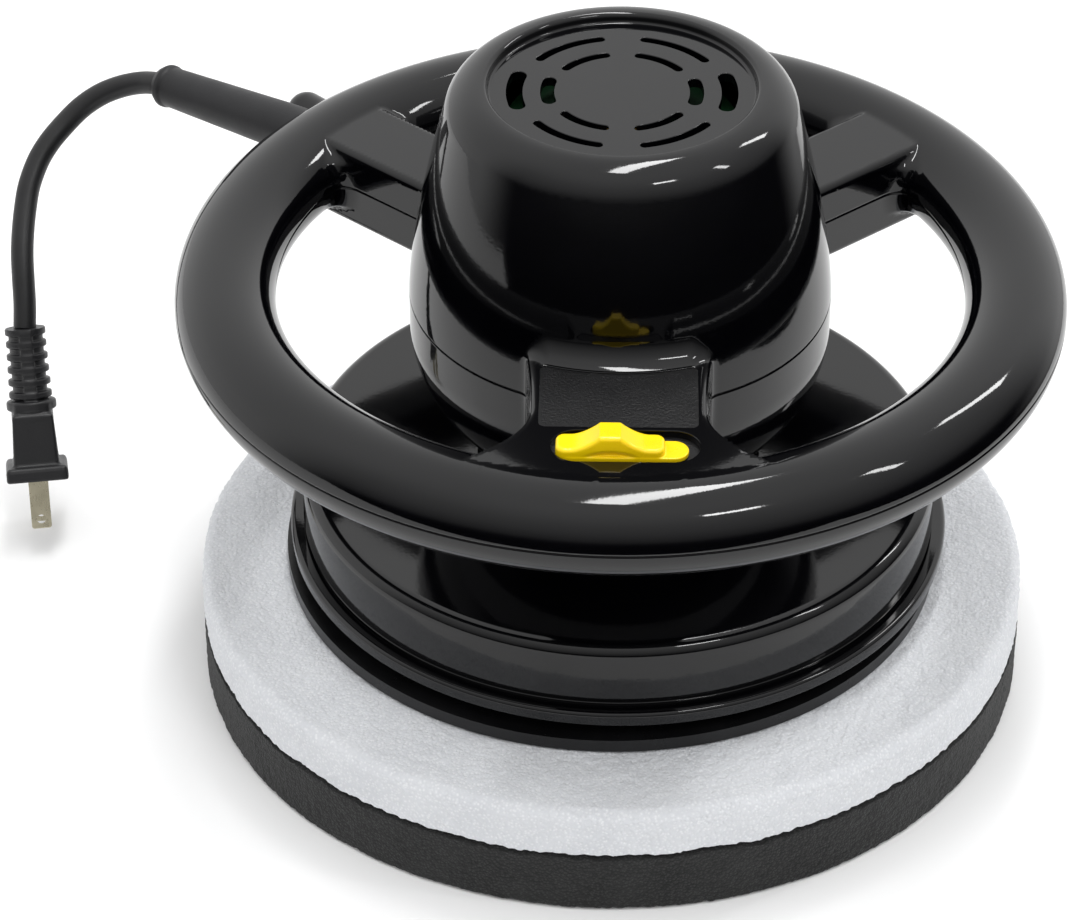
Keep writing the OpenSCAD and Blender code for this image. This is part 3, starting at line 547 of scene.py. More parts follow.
def core_distance(x, y, z):
    """Dome above, bowl and neck below."""
    r = np.hypot(x, y)
    t = np.maximum((z - PART_Z) / (SHOULDER_Z - PART_Z), 0)
    slope = DOME_TAPER * 1.45 * t**0.45 / (SHOULDER_Z - PART_Z)
    side = (r - dome_radius(z)) / np.sqrt(1 + slope**2)
    drop = np.maximum(BOWL_Z - z, 0)
    q = np.hypot(r / HOUSING_R, drop / BOWL_H)
    bowl = (q - 1) * q / (np.hypot(r / HOUSING_R**2, drop / BOWL_H**2) + 1e-9)
    side = np.where(z < BOWL_Z, bowl, side)
    neck_r = HOUSING_R * math.sqrt(1 - ((BOWL_Z - NECK_Z) / BOWL_H) ** 2)
    side = smooth_min(side, np.maximum(r - neck_r, z - BOWL_Z), 5.0)
    return np.maximum(round_max(side, z - HOUSING_TOP, CORNER_R), DRUM_TOP - z)


def ring_distance(x, y, z):
    u = (np.hypot(x, y) - RING_R) / RING_HALF_W
    v = (z - PART_Z) / RING_HALF_H
    q = np.hypot(u, v)
    return (q - 1) * q / (np.hypot(u / RING_HALF_W, v / RING_HALF_H) + 1e-9)


def rear_width(along):
    """Half the width of a rear spoke, and how fast it grows outwards."""
    return np.full_like(along, SPOKE_HALF_W), np.zeros_like(along)


def front_width(along):
    """The front spoke is waisted: it widens a little to the dome, and much more to the ring."""
    inner = np.maximum(76 - along, 0)
    outer = np.maximum(along - 82, 0)
    return FRONT_WAIST + 0.003 * inner**2 + 0.034 * outer**2, 0.068 * outer - 0.006 * inner


def spoke_parts(x, y, z, angle, width, top, edge):
    """Distance to a spoke, and how far out past its side a point lies."""
    a = math.radians(angle)
    along = x * math.cos(a) + y * math.sin(a)
    across = np.abs(y * math.cos(a) - x * math.sin(a))
    half, growth = width(along)
    bottom = PART_Z - RING_HALF_H
    wide = (across - half + 0.02 * np.abs(z - PART_Z)) / np.sqrt(1 + growth**2)
    tall = np.abs(z - (bottom + top) / 2) - (top - bottom) / 2
    ends = np.maximum(HOUSING_R - 12 - along, np.hypot(x, y) - RING_R)
    return np.maximum(round_max(wide, tall, edge), ends), wide


# angle, width, top, edge radius, fillet with the ring (top, side), fillet with the core (top, side)
SPOKES = [
    (SPOKE_ANGLE, rear_width, PART_Z + SPOKE_RISE, 1.9, 0.4, 8.0, 2.5, 5.0),
    (180 - SPOKE_ANGLE, rear_width, PART_Z + SPOKE_RISE, 1.9, 0.4, 8.0, 2.5, 5.0),
    (-90, front_width, PART_Z + RING_HALF_H - 0.15, 2.4, 0.2, 3.0, 7.5, 2.0),
]


def shell_distance(x, y, z):
    core = core_distance(x, y, z)
    ring = ring_distance(x, y, z)
    body = np.minimum(core, ring)
    level = smooth_step(12.5, 7.0, np.abs(z - PART_Z))
    for angle, width, top, edge, ring_top, ring_side, core_top, core_side in SPOKES:
        spoke, past = spoke_parts(x, y, z, angle, width, top, edge)
        side = smooth_step(-6, 1, past)
        body = np.minimum(body, smooth_min(ring, spoke, ring_top + (ring_side - ring_top) * level))
        body = np.minimum(body, smooth_min(core, spoke, core_top + (core_side - core_top) * side))
    return body


def lug_distance(x, y, z):
    a = math.radians(LUG_ANGLE)
    along = x * math.cos(a) + y * math.sin(a)
    off = np.hypot(y * math.cos(a) - x * math.sin(a), z - PART_Z)
    return np.hypot(off, np.maximum(np.maximum(along - LUG_END, RING_R - along), 0)) - LUG_R


def body_distance(x, y, z):
    """The whole housing from outside, with the shallow groove at the parting line."""
    body = smooth_min(shell_distance(x, y, z), lug_distance(x, y, z), 2.0)
    return body + SEAM_DEPTH * np.maximum(1 - np.abs(z - PART_Z) / SEAM_HALF_W, 0)


SWITCH_C = (2.0, -99.4)
SWITCH_L = 41.0
SWITCH_W = 14.5
SWITCH_DEPTH = 2.5


def stadium(x, y, centre, length, width):
    over = np.maximum(np.abs(x - centre[0]) - (length - width) / 2, 0)
    return np.hypot(over, y - centre[1]) - width / 2


def cavity_distance(x, y, z):
    """The hollow inside the shells."""
    hollow = np.maximum(shell_distance(x, y, z) + WALL, z - (HOUSING_TOP - RECESS_DEPTH - WALL))
    floor_z = PART_Z + RING_HALF_H - SWITCH_DEPTH - WALL
    block = np.maximum(stadium(x, y, SWITCH_C, SWITCH_L + 2 * WALL, SWITCH_W + 2 * WALL), floor_z - z)
    return np.maximum(hollow, -block)


def slot_outline(angle, sweep, r_in, r_out, grow):
    """A vent slot: an arc with round ends."""
    middle, half = (r_in + r_out) / 2, (r_out - r_in) / 2
    half_angle = math.radians(sweep / 2) - half / middle
    turn = math.radians(angle)
    w = half + grow
    out = []
    for side, begin in ((1, -1), (-1, 1)):
        for i in range(15):
            a = turn + begin * half_angle * (1 - i / 7)
            out.append(((middle + side * w) * math.cos(a), (middle + side * w) * math.sin(a)))
        end = turn - begin * half_angle
        for i in range(1, 8):
            b = math.pi * i / 8 + (0 if side > 0 else math.pi)
            r, off = middle + w * math.cos(b), w * math.sin(b)
            out.append((r * math.cos(end) - off * math.sin(end), r * math.sin(end) + off * math.cos(end)))
    return out


# direction, sweep, inner and outer radius of each vent slot
VENT_SLOTS = [(a, 39.0, i, o) for a in (0, 180) for i, o in ((28.6, 33.2), (19.5, 23.4))]
VENT_SLOTS += [(a, 45.5, i, o) for a in (57, 123, 237, 303) for i, o in ((28.4, 30.9), (19.2, 21.7))]


def stadium_outline(centre, length, width, grow, steps=16):
    out = []
    for side in (1, -1):
        for i in range(steps + 1):
            a = -math.pi / 2 + math.pi * i / steps + (0 if side > 0 else math.pi)
            r = width / 2 + grow
            middle = centre[0] + side * (length - width) / 2
            out.append((middle + r * math.cos(a), centre[1] + r * math.sin(a)))
    return out


def switch_outline(grow):
    return stadium_outline(SWITCH_C, SWITCH_L, SWITCH_W, grow)


PANEL_ARC_R = 65.2
PANEL_HALF_W = 22.2
PANEL_FRONT_Y = -90.8
PANEL_DEPTH = 0.35


def panel_outline(grow):
    """The textured panel between the dome's foot and the switch."""
    w, r = PANEL_HALF_W + grow, 2.0
    out = []
    for cx, a0 in ((-w + r, 180), (w - r, 270)):
        for i in range(7):
            a = math.radians(a0 + 15 * i)
            out.append((cx + r * math.cos(a), PANEL_FRONT_Y - grow + r + r * math.sin(a)))
    reach = math.asin((w - 1.2) / (PANEL_ARC_R - grow))
    rise = (PANEL_ARC_R - grow) * math.cos(reach)
    out.append((w, -rise - 1.2))
    for i in range(25):
        a = reach - 2 * reach * i / 24
        out.append(((PANEL_ARC_R - grow) * math.sin(a), -(PANEL_ARC_R - grow) * math.cos(a)))
    out.append((-w, -rise - 1.2))
    return out


def recess_tool():
    """Cuts the round recess in the dome's top, with a rolled rim and a filleted floor."""
    floor_z, rim, foot = HOUSING_TOP - RECESS_DEPTH, 1.5, 0.9
    profile = [(0, floor_z)]
    profile += arc((RECESS_R - foot, floor_z + foot), foot, -90, 0, 5)
    profile += arc((RECESS_R + rim, HOUSING_TOP - rim), rim, 180, 98, 8)
    profile += [(RECESS_R + rim + 0.1, HOUSING_TOP + 2), (0, HOUSING_TOP + 2)]
    return turned("recess_tool", profile, 192)


def block(name, centre, half, z0, z1):
    """An upright box, with half its size in X and Y."""
    corners = ((-1, -1), (1, -1), (1, 1), (-1, 1))
    plan = [(centre[0] + i * half[0], centre[1] + j * half[1]) for i, j in corners]
    return lofted(name, [[(x, y, z) for x, y in plan] for z in (z0, z1)])


def cylinder(name, r, z0, z1, centre=(0, 0), sides=40):
    return turned(name, [(0, z0), (r, z0), (r, z1), (0, z1)], sides, centre)


def turn_about(axis, degrees):
    return Matrix.Rotation(math.radians(degrees), 4, axis)


def boot_matrix():
    """+Z runs from inside the ring to the boot's tip."""
    return Matrix.Translation(BOOT_TIP) @ turn_about("Z", BOOT_AZIMUTH) @ turn_about("Y", 90 + BOOT_DROP)


def on_circle(r, angle):
    return (r * math.cos(math.radians(angle)), r * math.sin(math.radians(angle)))


SCREW_ANGLES = (-140, -40, 10, 65, 115, 170)
BOSS_R = 5.0
SCREW_POCKET_R = 4.0
SCREW_SINK = 7.0
AIR_HOLE_R = 30.0
MOUNT_ARM_R = 39.5
FOOT_SCREW_R = 36.5
SWITCH_EAR = 20.0
SLIDER_Y = -100.3
CLAMP_R = 86.0
CLAMP_EAR = 7.2


def make_housing():
    xy = levels(-134.0, 134.0, BODY_STEP)
    near_seam = np.array([-1.45, -0.9, -0.46, -0.16, 0.16, 0.46, 0.9, 1.45]) + PART_Z
    down = PART_Z - 1.45 - BODY_STEP * np.arange(1, 53)[::-1]
    up = PART_Z + 1.45 + BODY_STEP * np.arange(1, 60)
    body = surface_of("body", body_distance, (xy, xy, np.concatenate([down, near_seam, up])))
    hollow_xy = levels(-133, 133, CAVITY_STEP)
    hollow_axes = (hollow_xy, hollow_xy, levels(70, 201, CAVITY_STEP))
    carve(body, surface_of("cavity", cavity_distance, hollow_axes))
    upper = copy_of(body, "upper_housing_shell")
    lower = copy_of(body, "lower_housing_shell")
    bpy.data.objects.remove(body)
    carve(upper, cylinder("keep", 190, PART_Z + SEAM_GAP, 230), "INTERSECT")
    carve(lower, cylinder("keep", 190, 60, PART_Z - SEAM_GAP), "INTERSECT")

    for angle in SCREW_ANGLES:
        centre = on_circle(RING_R, angle)
        boss_top = PART_Z + RING_HALF_H - 2.4
        carve(upper, cylinder("boss", BOSS_R, PART_Z + SEAM_GAP, boss_top, centre), "UNION")
        carve(upper, cylinder("hole", 1.7, PART_Z - 1, boss_top - 1.9, centre))
        boss_foot = PART_Z - RING_HALF_H + 2.4
        carve(lower, cylinder("boss", BOSS_R, boss_foot, PART_Z - SEAM_GAP, centre), "UNION")
        pocket_top = PART_Z - RING_HALF_H + SCREW_SINK
        profile = [(0, 110), (SCREW_POCKET_R, 110), (SCREW_POCKET_R, pocket_top), (2.2, pocket_top)]
        carve(lower, turned("pocket", profile + [(2.2, PART_Z + 1), (0, PART_Z + 1)], 40, centre))

    carve(upper, recess_tool())
    floor_z = HOUSING_TOP - RECESS_DEPTH
    for slot in VENT_SLOTS:
        carve(upper, cutter("slot", lambda g, s=slot: slot_outline(*s, g), floor_z, floor_z - 6, 0.3))
    top = PART_Z + RING_HALF_H
    carve(upper, cutter("panel", panel_outline, top - 0.02, top - PANEL_DEPTH, 0.15))
    carve(upper, cutter("switch", switch_outline, top, top - SWITCH_DEPTH, 0.7))
    stem_hole = stadium_outline((2.6, SLIDER_Y), 16, 6, 0, 6)
    carve(upper, lofted("stem", [[(x, y, z) for x, y in stem_hole] for z in (top - 12, top + 1)]))
    # the cable boot's hole goes through both shells at the seam
    hole = [(0, 5 - BOOT_L), (BOOT_ROOT_R + 0.12, 5 - BOOT_L), (BOOT_ROOT_R + 0.12, -20), (0, -20)]
    for shell in (upper, lower):
        carve(shell, turned("boot_hole", hole, 64, (0, 0), boot_matrix()))

    carve(lower, cylinder("air", AIR_HOLE_R, DRUM_TOP - 1, DRUM_TOP + WALL + 3, sides=128))
    for i in range(4):
        centre = on_circle(FOOT_SCREW_R, 45 + 90 * i)
        carve(lower, cylinder("foot_hole", 1.7, DRUM_TOP - 1, DRUM_TOP + 5, centre, 24))
        centre = on_circle(MOUNT_ARM_R, 90 * i)
        carve(lower, cylinder("pillar", 3.4, DRUM_TOP + 1, 92.46, centre), "UNION")
        carve(lower, cylinder("hole", 1.7, DRUM_TOP + 9, 94, centre, 24))
    posts = [((s * SWITCH_EAR, SLIDER_Y), 3.4, 123.46) for s in (-1, 1)]
    along, across = np.array(on_circle(1, 180 - SPOKE_ANGLE)), np.array(on_circle(1, 270 - SPOKE_ANGLE))
    posts += [(tuple(CLAMP_R * along + s * CLAMP_EAR * across), 3.0, 134.46) for s in (-1, 1)]
    for centre, r, top_z in posts:
        carve(lower, cylinder("post", r, 119.6, top_z, centre), "UNION")
        carve(lower, cylinder("hole", 1.7, 121.2, top_z + 1, centre, 24))

    for shell, node in ((upper, "upper_housing"), (lower, "lower_housing")):
        shade(shell, body_distance)
        finish_piece(shell, "housing", "housing_black", node)
    paint_panel(upper)


def paint_panel(shell):
    """Gives the panel and the switch recess their textured finish."""
    shell.data.materials.append(PANEL)
    centres = np.array([p.center[:] for p in shell.data.polygons]) / MM
    normals = np.array([p.normal[2] for p in shell.data.polygons])
    top = PART_Z + RING_HALF_H
    level = np.abs(centres[:, 2] - (top - PANEL_DEPTH)) < 0.05
    inside = (np.abs(centres[:, 0]) < PANEL_HALF_W) & (centres[:, 1] > PANEL_FRONT_Y) & (centres[:, 1] < -50)
    recess = stadium(centres[:, 0], centres[:, 1], SWITCH_C, SWITCH_L, SWITCH_W) < 0.1
    recess &= (centres[:, 2] > 140) & (centres[:, 2] < top - 1)
    chosen = (normals > 0.99) & ((level & inside) | recess)
    for index in np.flatnonzero(chosen):
        shell.data.polygons[int(index)].material_index = 1


def finish_piece(piece, body, slot, *nodes):
    """Material, slot, body and the CAD nodes that the piece stands for."""
    if piece.data.materials:
        piece.data.materials[0] = SLOTS[slot]
    else:
        piece.data.materials.append(SLOTS[slot])
    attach(piece, body)
    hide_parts(*nodes)


# ---- Cord, boot and plug ----
CORD_D = 7.3
# The cord's route from the boot to the plug, as the CAD model has it.
CORD_ROUTE = [
    (-147, 115, 130.5), (-153.5, 119, 128.5), (-160.5, 121, 126), (-167.5, 121, 123),
    (-174, 119.5, 119), (-179.5, 116.5, 114.5), (-184.5, 112, 110), (-188, 107.5, 105.5),
    (-190.5, 102, 100), (-191.5, 97, 95), (-192, 91, 89.5), (-192, 85.5, 84),
    (-191.5, 80.5, 78), (-191, 76, 71.5), (-191, 72, 65),
]
PLUG_TILT = 26.0
PLUG_LEAN = 4.5
PLUG_TURN = 11.0
PLUG_L = 48.6
BLADE_L = 16.0
BLADE_GAP = 12.7


def smooth_route(points, steps):
    """A Catmull-Rom curve through the points."""
    p = np.array(points, float)
    p = np.vstack([2 * p[0] - p[1], p, 2 * p[-1] - p[-2]])
    out = []
    for i in range(1, len(p) - 2):
        for t in np.arange(steps) / steps:
            a, b, c, d = p[i - 1 : i + 3]
            square, cube = 2 * a - 5 * b + 4 * c - d, 3 * b - a - 3 * c + d
            out.append(0.5 * (2 * b + (c - a) * t + square * t**2 + cube * t**3))
    return np.array(out + [p[-2]])


def swept(name, route, radius, sides):
    """A round tube along a route, closed at both ends."""
    heading = np.gradient(route, axis=0)
    heading /= np.linalg.norm(heading, axis=1)[:, None]
    side = np.cross(heading[0], [0, 0, 1.0])
    rings = []
    for place, ahead in zip(route, heading):
        side = side - ahead * (side @ ahead)
        side /= np.linalg.norm(side)
        up = np.cross(ahead, side)
        turn = 2 * math.pi * np.arange(sides) / sides
        rings.append([tuple(place + radius * (math.cos(a) * side + math.sin(a) * up)) for a in turn])
    return lofted(name, rings)


def plug_matrix():
    """+Z runs from the plug's face up to the cord."""
    turn = turn_about("Y", -PLUG_LEAN) @ turn_about("X", -PLUG_TILT) @ turn_about("Z", PLUG_TURN)
    return Matrix.Translation(CORD_ROUTE[-1]) @ turn @ Matrix.Translation((0, 0, -PLUG_L))


def moved(piece, matrix):
    """Puts a piece that was made about the origin, in millimetres, in its place."""
    shift = matrix.copy()
    shift.translation = matrix.translation * MM
    piece.data.transform(shift)
    return piece


def plug_distance(x, y, z):
    """Moulded plug: a flange, a grip body, a collar and a ribbed sleeve with a spine."""
    flare = np.clip((4.6 - z) / 1.6, 0, 1) * 0.5
    flange = round_box(x, y, z - 2.3, (9.4, 11.0, 2.3), 0.9) - flare
    flange = np.maximum(flange, -z)
    lean = (z - 4) / 17
    body = round_box(x, y, z - 11.5, (7.4, 9.0, 10.5), 1.6) + 0.9 * np.clip(lean, 0, 1)
    body = smooth_min(flange, body, 1.4)
    waist = round_box(x, y, z - 22, (5.6, 6.8, 3.2), 1.5)
    body = smooth_min(body, waist, 2.0)
    r = np.hypot(x, y)
    collar = round_max(r - 8.0, np.abs(z - 23.6) - 1.6, 0.9)
    body = smooth_min(body, collar, 1.0)
    sleeve = round_max(r - 5.5, np.abs(z - 36) - 12.5, 0.4)
    body = smooth_min(body, sleeve, 0.8)
    for i in range(6):
        rib = round_max(r - (6.9 - 0.1 * i), np.abs(z - (27.05 + 4.1 * i)) - 1.05, 0.55)
        body = smooth_min(body, rib, 0.7)
    spine = round_box(np.abs(x), y, z - 36, (2.0, 6.3, 11.8), 0.5)
    body = smooth_min(body, spine, 0.7)
    ledge = smooth_min(body, np.maximum(r - 6.3, np.abs(z - 47.6) - 1.0), 0.6)
    return np.maximum(np.where(z > 40, ledge, body), np.maximum(z - (PLUG_L - 0.02), -z))


def blades_distance(x, y, z):
    near = np.abs(y) - BLADE_GAP / 2
    thin = 0.75 - 0.32 * np.clip((2.6 - BLADE_L - z) / 2.6, 0, 1)
    middle = (8 - BLADE_L) / 2
    plan = round_box(x, 0 * y, z - middle, (3.2, 5.0, (8 + BLADE_L) / 2), 0.9)
    plate = round_max(plan, np.abs(near) - thin, 0.16)
    hole = 1.5 - np.hypot(x, z - (3 - BLADE_L))
    return round_max(plate, hole, 0.1)


def make_cord():
    route = smooth_route(CORD_ROUTE, 6)
    cord = swept("cord", route, CORD_D / 2, 28)
    shade(cord)
    axes = (levels(-11.5, 11.5, 0.42), levels(-12.6, 12.6, 0.42), levels(-0.7, 49.6, 0.42))
    plug = surface_of("plug", plug_distance, axes)
    for s in (-1, 1):
        carve(plug, block("socket", (0, s * BLADE_GAP / 2), (3.22, 0.77), -1, 8.02))
    shade(plug, plug_distance)
    moved(plug, plug_matrix())
    axes = (levels(-3.7, 3.7, 0.24), levels(-7.7, 7.7, 0.24), levels(-16.6, 8.6, 0.24))
    blades = surface_of("blades", blades_distance, axes)
    shade(blades, blades_distance)
    moved(blades, plug_matrix())
    boot = make_boot()
    finish_piece(cord, "housing", "cord_black", "power_cord")
    finish_piece(plug, "housing", "plug_black", "plug_body")
    finish_piece(blades, "housing", "blade_nickel", "plug_blades")
    finish_piece(boot, "housing", "boot_black", "strain_relief")


def make_boot():
    """The cord's boot: flanged inside the ring, tapering to a bevelled collar."""
    bore = CORD_D / 2 + 0.02
    end = BOOT_TIP_R + 0.5
    profile = [(bore, -BOOT_L), (6.8, -BOOT_L), (6.8, 2.4 - BOOT_L), (5.4, 2.4 - BOOT_L), (5.4, 6 - BOOT_L)]
    profile += [(BOOT_ROOT_R, 6 - BOOT_L), (BOOT_ROOT_R, 16 - BOOT_L)]
    for i in range(1, 12):
        t = i / 12
        profile.append((BOOT_ROOT_R + (BOOT_TIP_R - BOOT_ROOT_R) * t, 16 - BOOT_L + (BOOT_L - 21) * t))
    profile += [(BOOT_TIP_R, -5.0), (BOOT_TIP_R + 0.12, -4.4), (end - 0.1, -3.9), (end, -3.5)]
    profile += [(end, -2.4), (end - 0.15, -2.05), (BOOT_TIP_R - 0.75, -0.25), (BOOT_TIP_R - 1, -0.05)]
    profile += [(BOOT_TIP_R - 1.2, 0), (bore, 0)]
    boot = turned("boot", profile, 72, (0, 0), boot_matrix())
    shade(boot)
    return boot


make_cord()
make_housing()


# ---- Shroud ----
DRUM_R = 96.5
LIP_R = 100.5
DRUM_BOTTOM = 46.2
DRUM_EDGE = 4.0
DRUM_WALL = 2.6


def make_shroud():
    """The fixed drum over the backing plate: a flared lip, a groove, and a rounded top edge."""
    lip_top = DRUM_BOTTOM + 4.8
    groove_top = lip_top + 1.7
    inner = DRUM_R - DRUM_WALL
    profile = [(AIR_HOLE_R, DRUM_TOP - DRUM_WALL)]
    profile += arc((inner - 1.6, DRUM_TOP - DRUM_WALL - 1.6), 1.6, 90, 0, 5)
    profile += [(inner, lip_top + 1), (LIP_R - DRUM_WALL + 0.4, DRUM_BOTTOM + 0.5)]
    profile += arc((LIP_R - DRUM_WALL + 0.9, DRUM_BOTTOM + 0.5), 0.5, 180, 270, 3)
    profile += arc((LIP_R - 0.9, DRUM_BOTTOM + 0.9), 0.9, -90, 0, 6)
    profile += arc((LIP_R - 1.5, lip_top - 1.5), 1.5, 0, 90, 8)
    profile += arc((DRUM_R - 0.6, lip_top + 0.4), 0.4, 270, 180, 4)
    profile += arc((DRUM_R - 0.6, groove_top - 0.4), 0.4, 180, 90, 4)
    profile += arc((DRUM_R - 0.35, groove_top + 0.35), 0.35, -90, 0, 4)
    profile += arc((DRUM_R - DRUM_EDGE, DRUM_TOP - DRUM_EDGE), DRUM_EDGE, 0, 90, 14)
    profile += [(AIR_HOLE_R + 0.5, DRUM_TOP), (AIR_HOLE_R, DRUM_TOP - 0.5)]
    shroud = turned("shroud_drum", profile, 288)
    for i in range(4):
        centre = on_circle(FOOT_SCREW_R, 45 + 90 * i)
        carve(shroud, cylinder("hole", 2.2, DRUM_TOP - 6, DRUM_TOP + 3, centre, 24))
    shade(shroud)
    finish_piece(shroud, "housing", "shroud_black", "shroud")


make_shroud()


# ---- Switch slider ----
SLIDER_X0 = -17.2
SLIDER_L = 36.6
SLIDER_D = 8.4
SLIDER_BASE_Z = PART_Z + RING_HALF_H - SWITCH_DEPTH + 0.3
GRIP_HALF = 15.0


def grip_height(x):
    u = np.abs(x) / GRIP_HALF
    flank = 4 + 4 * np.clip((0.72 - u) / 0.53, 0, 1) ** 1.7
    return np.where(u < 0.19, 8.0, flank)


def slider_distance(x, y, z):
    """A flat tongue with a hat-shaped thumb grip, hollowed in front."""
    plan = stadium(x, y, (SLIDER_X0 + SLIDER_L / 2, SLIDER_Y), SLIDER_L, SLIDER_D)
    base = round_max(plan, np.abs(z - SLIDER_BASE_Z - 0.75) - 0.75, 0.3)
    gx = x - (SLIDER_X0 + GRIP_HALF)
    gy = y - SLIDER_Y
    slope = (grip_height(gx + 0.2) - grip_height(gx - 0.2)) / 0.4
    top = (z - SLIDER_BASE_Z - grip_height(gx)) / np.sqrt(1 + slope**2)
    corner = 2.6
    over_x = np.maximum(np.abs(gx) - (GRIP_HALF - corner), 0)
    over_y = np.maximum(np.abs(gy) - (SLIDER_D / 2 - corner), 0)
    plan = np.hypot(over_x, over_y) - corner
    grip = np.maximum(round_max(plan, top, 1.1), SLIDER_BASE_Z - z)
    back, rise = gy + SLIDER_D / 2 + 1.2, z - SLIDER_BASE_Z - 0.2
    hollow = np.sqrt((gx / 8.6) ** 2 + (back / 2.6) ** 2 + (rise / 3.6) ** 2) - 1
    grip = round_max(grip, -hollow * 2.6, 0.5)
    return smooth_min(base, grip, 0.5)


def make_slider():
    axes = (levels(-18, 20.5, 0.3), levels(SLIDER_Y - 5, SLIDER_Y + 5, 0.3), levels(143.4, 153.2, 0.3))
    slider = surface_of("slider", slider_distance, axes)
    stem = block("stem", (-1.5, SLIDER_Y), (1.4, 2), SLIDER_BASE_Z - 8.4, SLIDER_BASE_Z + 0.4)
    carve(slider, stem, "UNION")
    shade(slider, slider_distance)
    finish_piece(slider, "switch", "switch_yellow", "switch_slider")


make_slider()


# ---- Foam pad ----
PAD_AXIS = (-2.0, -1.5)
PAD_R = 127.0
DARK_TOP = 20.4
WHITE_TOP = 37.5
NOISE_SIZE = 64


def lattice_noise(points, seed):
    """Smooth noise from 0 to 1 on a lattice one unit wide."""
    table = np.random.default_rng(seed).random((NOISE_SIZE,) * 3)
    whole = np.floor(points).astype(int)
    part = points - whole
    part = part * part * (3 - 2 * part)
    total = np.zeros(len(points))
    for corner in np.ndindex(2, 2, 2):
        weight = np.ones(len(points))
        index = []
        for i in range(3):
            weight = weight * (part[:, i] if corner[i] else 1 - part[:, i])
            index.append((whole[:, i] + corner[i]) % NOISE_SIZE)
        total += weight * table[tuple(index)]
    return total


def cut_line(angles):
    """How far the glue line between the two foams strays from its height, round the pad."""
    ring = np.column_stack([np.cos(angles), np.sin(angles), 0 * angles])
    coarse = lattice_noise(ring * 9 + 20, 3) - 0.5
    fine = lattice_noise(ring * 60 + 70, 4) - 0.5
    return 0.9 * coarse + 0.7 * fine


def foam_disc(name, profile, sides, cell, lumps, seed):
    """A foam disc from (radius, height, share of the cut line's strays) rows, anticlockwise."""
    angles = 2 * math.pi * np.arange(sides) / sides
    stray = cut_line(angles)
    circle = np.column_stack([np.cos(angles), np.sin(angles)])
    points = np.concatenate([np.column_stack([r * circle, z + share * stray]) for r, z, share in profile])
    n = len(profile)
    index = np.arange(sides)
    after = (index + 1) % sides
    strip = np.column_stack([index, after, sides + after, sides + index])
    quads = np.concatenate([i * sides + strip for i in range(n - 1)])
    # the surface sinks by its cells and soft lumps, along its own normals
    rz = np.array([(r, z) for r, z, _ in profile])
    along = np.gradient(rz, axis=0)
    along /= np.linalg.norm(along, axis=1)[:, None] + 1e-9
    out = np.column_stack([along[:, 1], -along[:, 0]])
    normal = np.concatenate([np.column_stack([o[0] * circle, np.full(sides, o[1])]) for o in out])
    shown = np.repeat([1.0 if r > 80 else 0.3 for r, _, _ in profile], sides)
    sink = cell * 0.42 * lattice_noise(points / cell, seed)
    sink = sink + cell * 0.3 * lattice_noise(points / (cell * 0.55), seed + 1)
    sink += lumps * lattice_noise(points / 9.0, seed + 2)
    points = points - normal * (sink * shown)[:, None]
    points[:, :2] += PAD_AXIS
    disc = quad_object(name, points, quads)
    close_ends(disc, sides, n)
    return disc


def close_ends(disc, sides, rows):
    """Closes the small rings at the disc's two poles."""
    bm = bmesh.new()
    bm.from_mesh(disc.data)
    bm.verts.ensure_lookup_table()
    bm.faces.new([bm.verts[i] for i in range(sides)][::-1])
    start = (rows - 1) * sides
    bm.faces.new([bm.verts[start + i] for i in range(sides)])
    bm.to_mesh(disc.data)
    bm.free()


def make_pad():
    sides = 864
    fine = 0.95
    edge = 4.5
    white = [(4, DARK_TOP, 0.0), (60, DARK_TOP, 0.0), (110, DARK_TOP, 0.3), (122, DARK_TOP, 0.9)]
    white += [(PAD_R - 1.2, DARK_TOP + 0.02, 1.0), (PAD_R - 0.3, DARK_TOP + 0.35, 1.0)]
    steps = int((WHITE_TOP - edge - DARK_TOP - 1) / fine)
    for i in range(steps + 1):
        t = i / steps
        z = DARK_TOP + 1.0 + (WHITE_TOP - edge - DARK_TOP - 1.0) * t
        white.append((PAD_R - 0.02, z, max(0, 0.9 - 1.4 * t)))
    white += [(r, z, 0) for r, z in arc((PAD_R - edge, WHITE_TOP - edge), edge, 8, 82, 7)]
    white += [(r, WHITE_TOP, 0) for r in np.arange(PAD_R - edge - 0.9, 92, -fine)]
    white += [(84, WHITE_TOP, 0), (60, WHITE_TOP, 0), (4, WHITE_TOP, 0)]
    disc = foam_disc("foam_white_disc", white, sides, 1.3, 0.5, 11)
    shade(disc)
    finish_piece(disc, "pad", "foam_white", "foam_white")

    dark = [(4, 0.02, 0), (60, 0.02, 0)]
    dark += [(r, 0.02, 0) for r in np.arange(90, PAD_R - 1.6, 1.5)]
    dark += [(r, z, 0) for r, z in arc((PAD_R - 1.6, 1.6), 1.6, -80, -10, 4)]
    steps = int((DARK_TOP - 3) / fine)
    for i in range(steps + 1):
        t = i / steps
        dark.append((PAD_R - 0.05, 2.0 + (DARK_TOP - 2.9) * t, max(0, 1.6 * t - 0.7)))
    dark += [(PAD_R - 0.4, DARK_TOP - 0.35, 1.0), (PAD_R - 1.3, DARK_TOP - 0.04, 1.0)]
    dark += [(r, DARK_TOP - 0.05, share) for r, share in ((122, 0.9), (110, 0.3), (60, 0.0), (4, 0.0))]
    disc = foam_disc("foam_dark_disc", dark, sides, 1.0, 0.3, 31)
    shade(disc)
    finish_piece(disc, "pad", "foam_charcoal", "foam_dark")


make_pad()

for part in frame["record"]["subparts"]:
    node = frame["nodes"][part["node"]]
    if not node.hide_render:
        node.data.polygons.foreach_set("use_smooth", np.ones(len(node.data.polygons), bool))


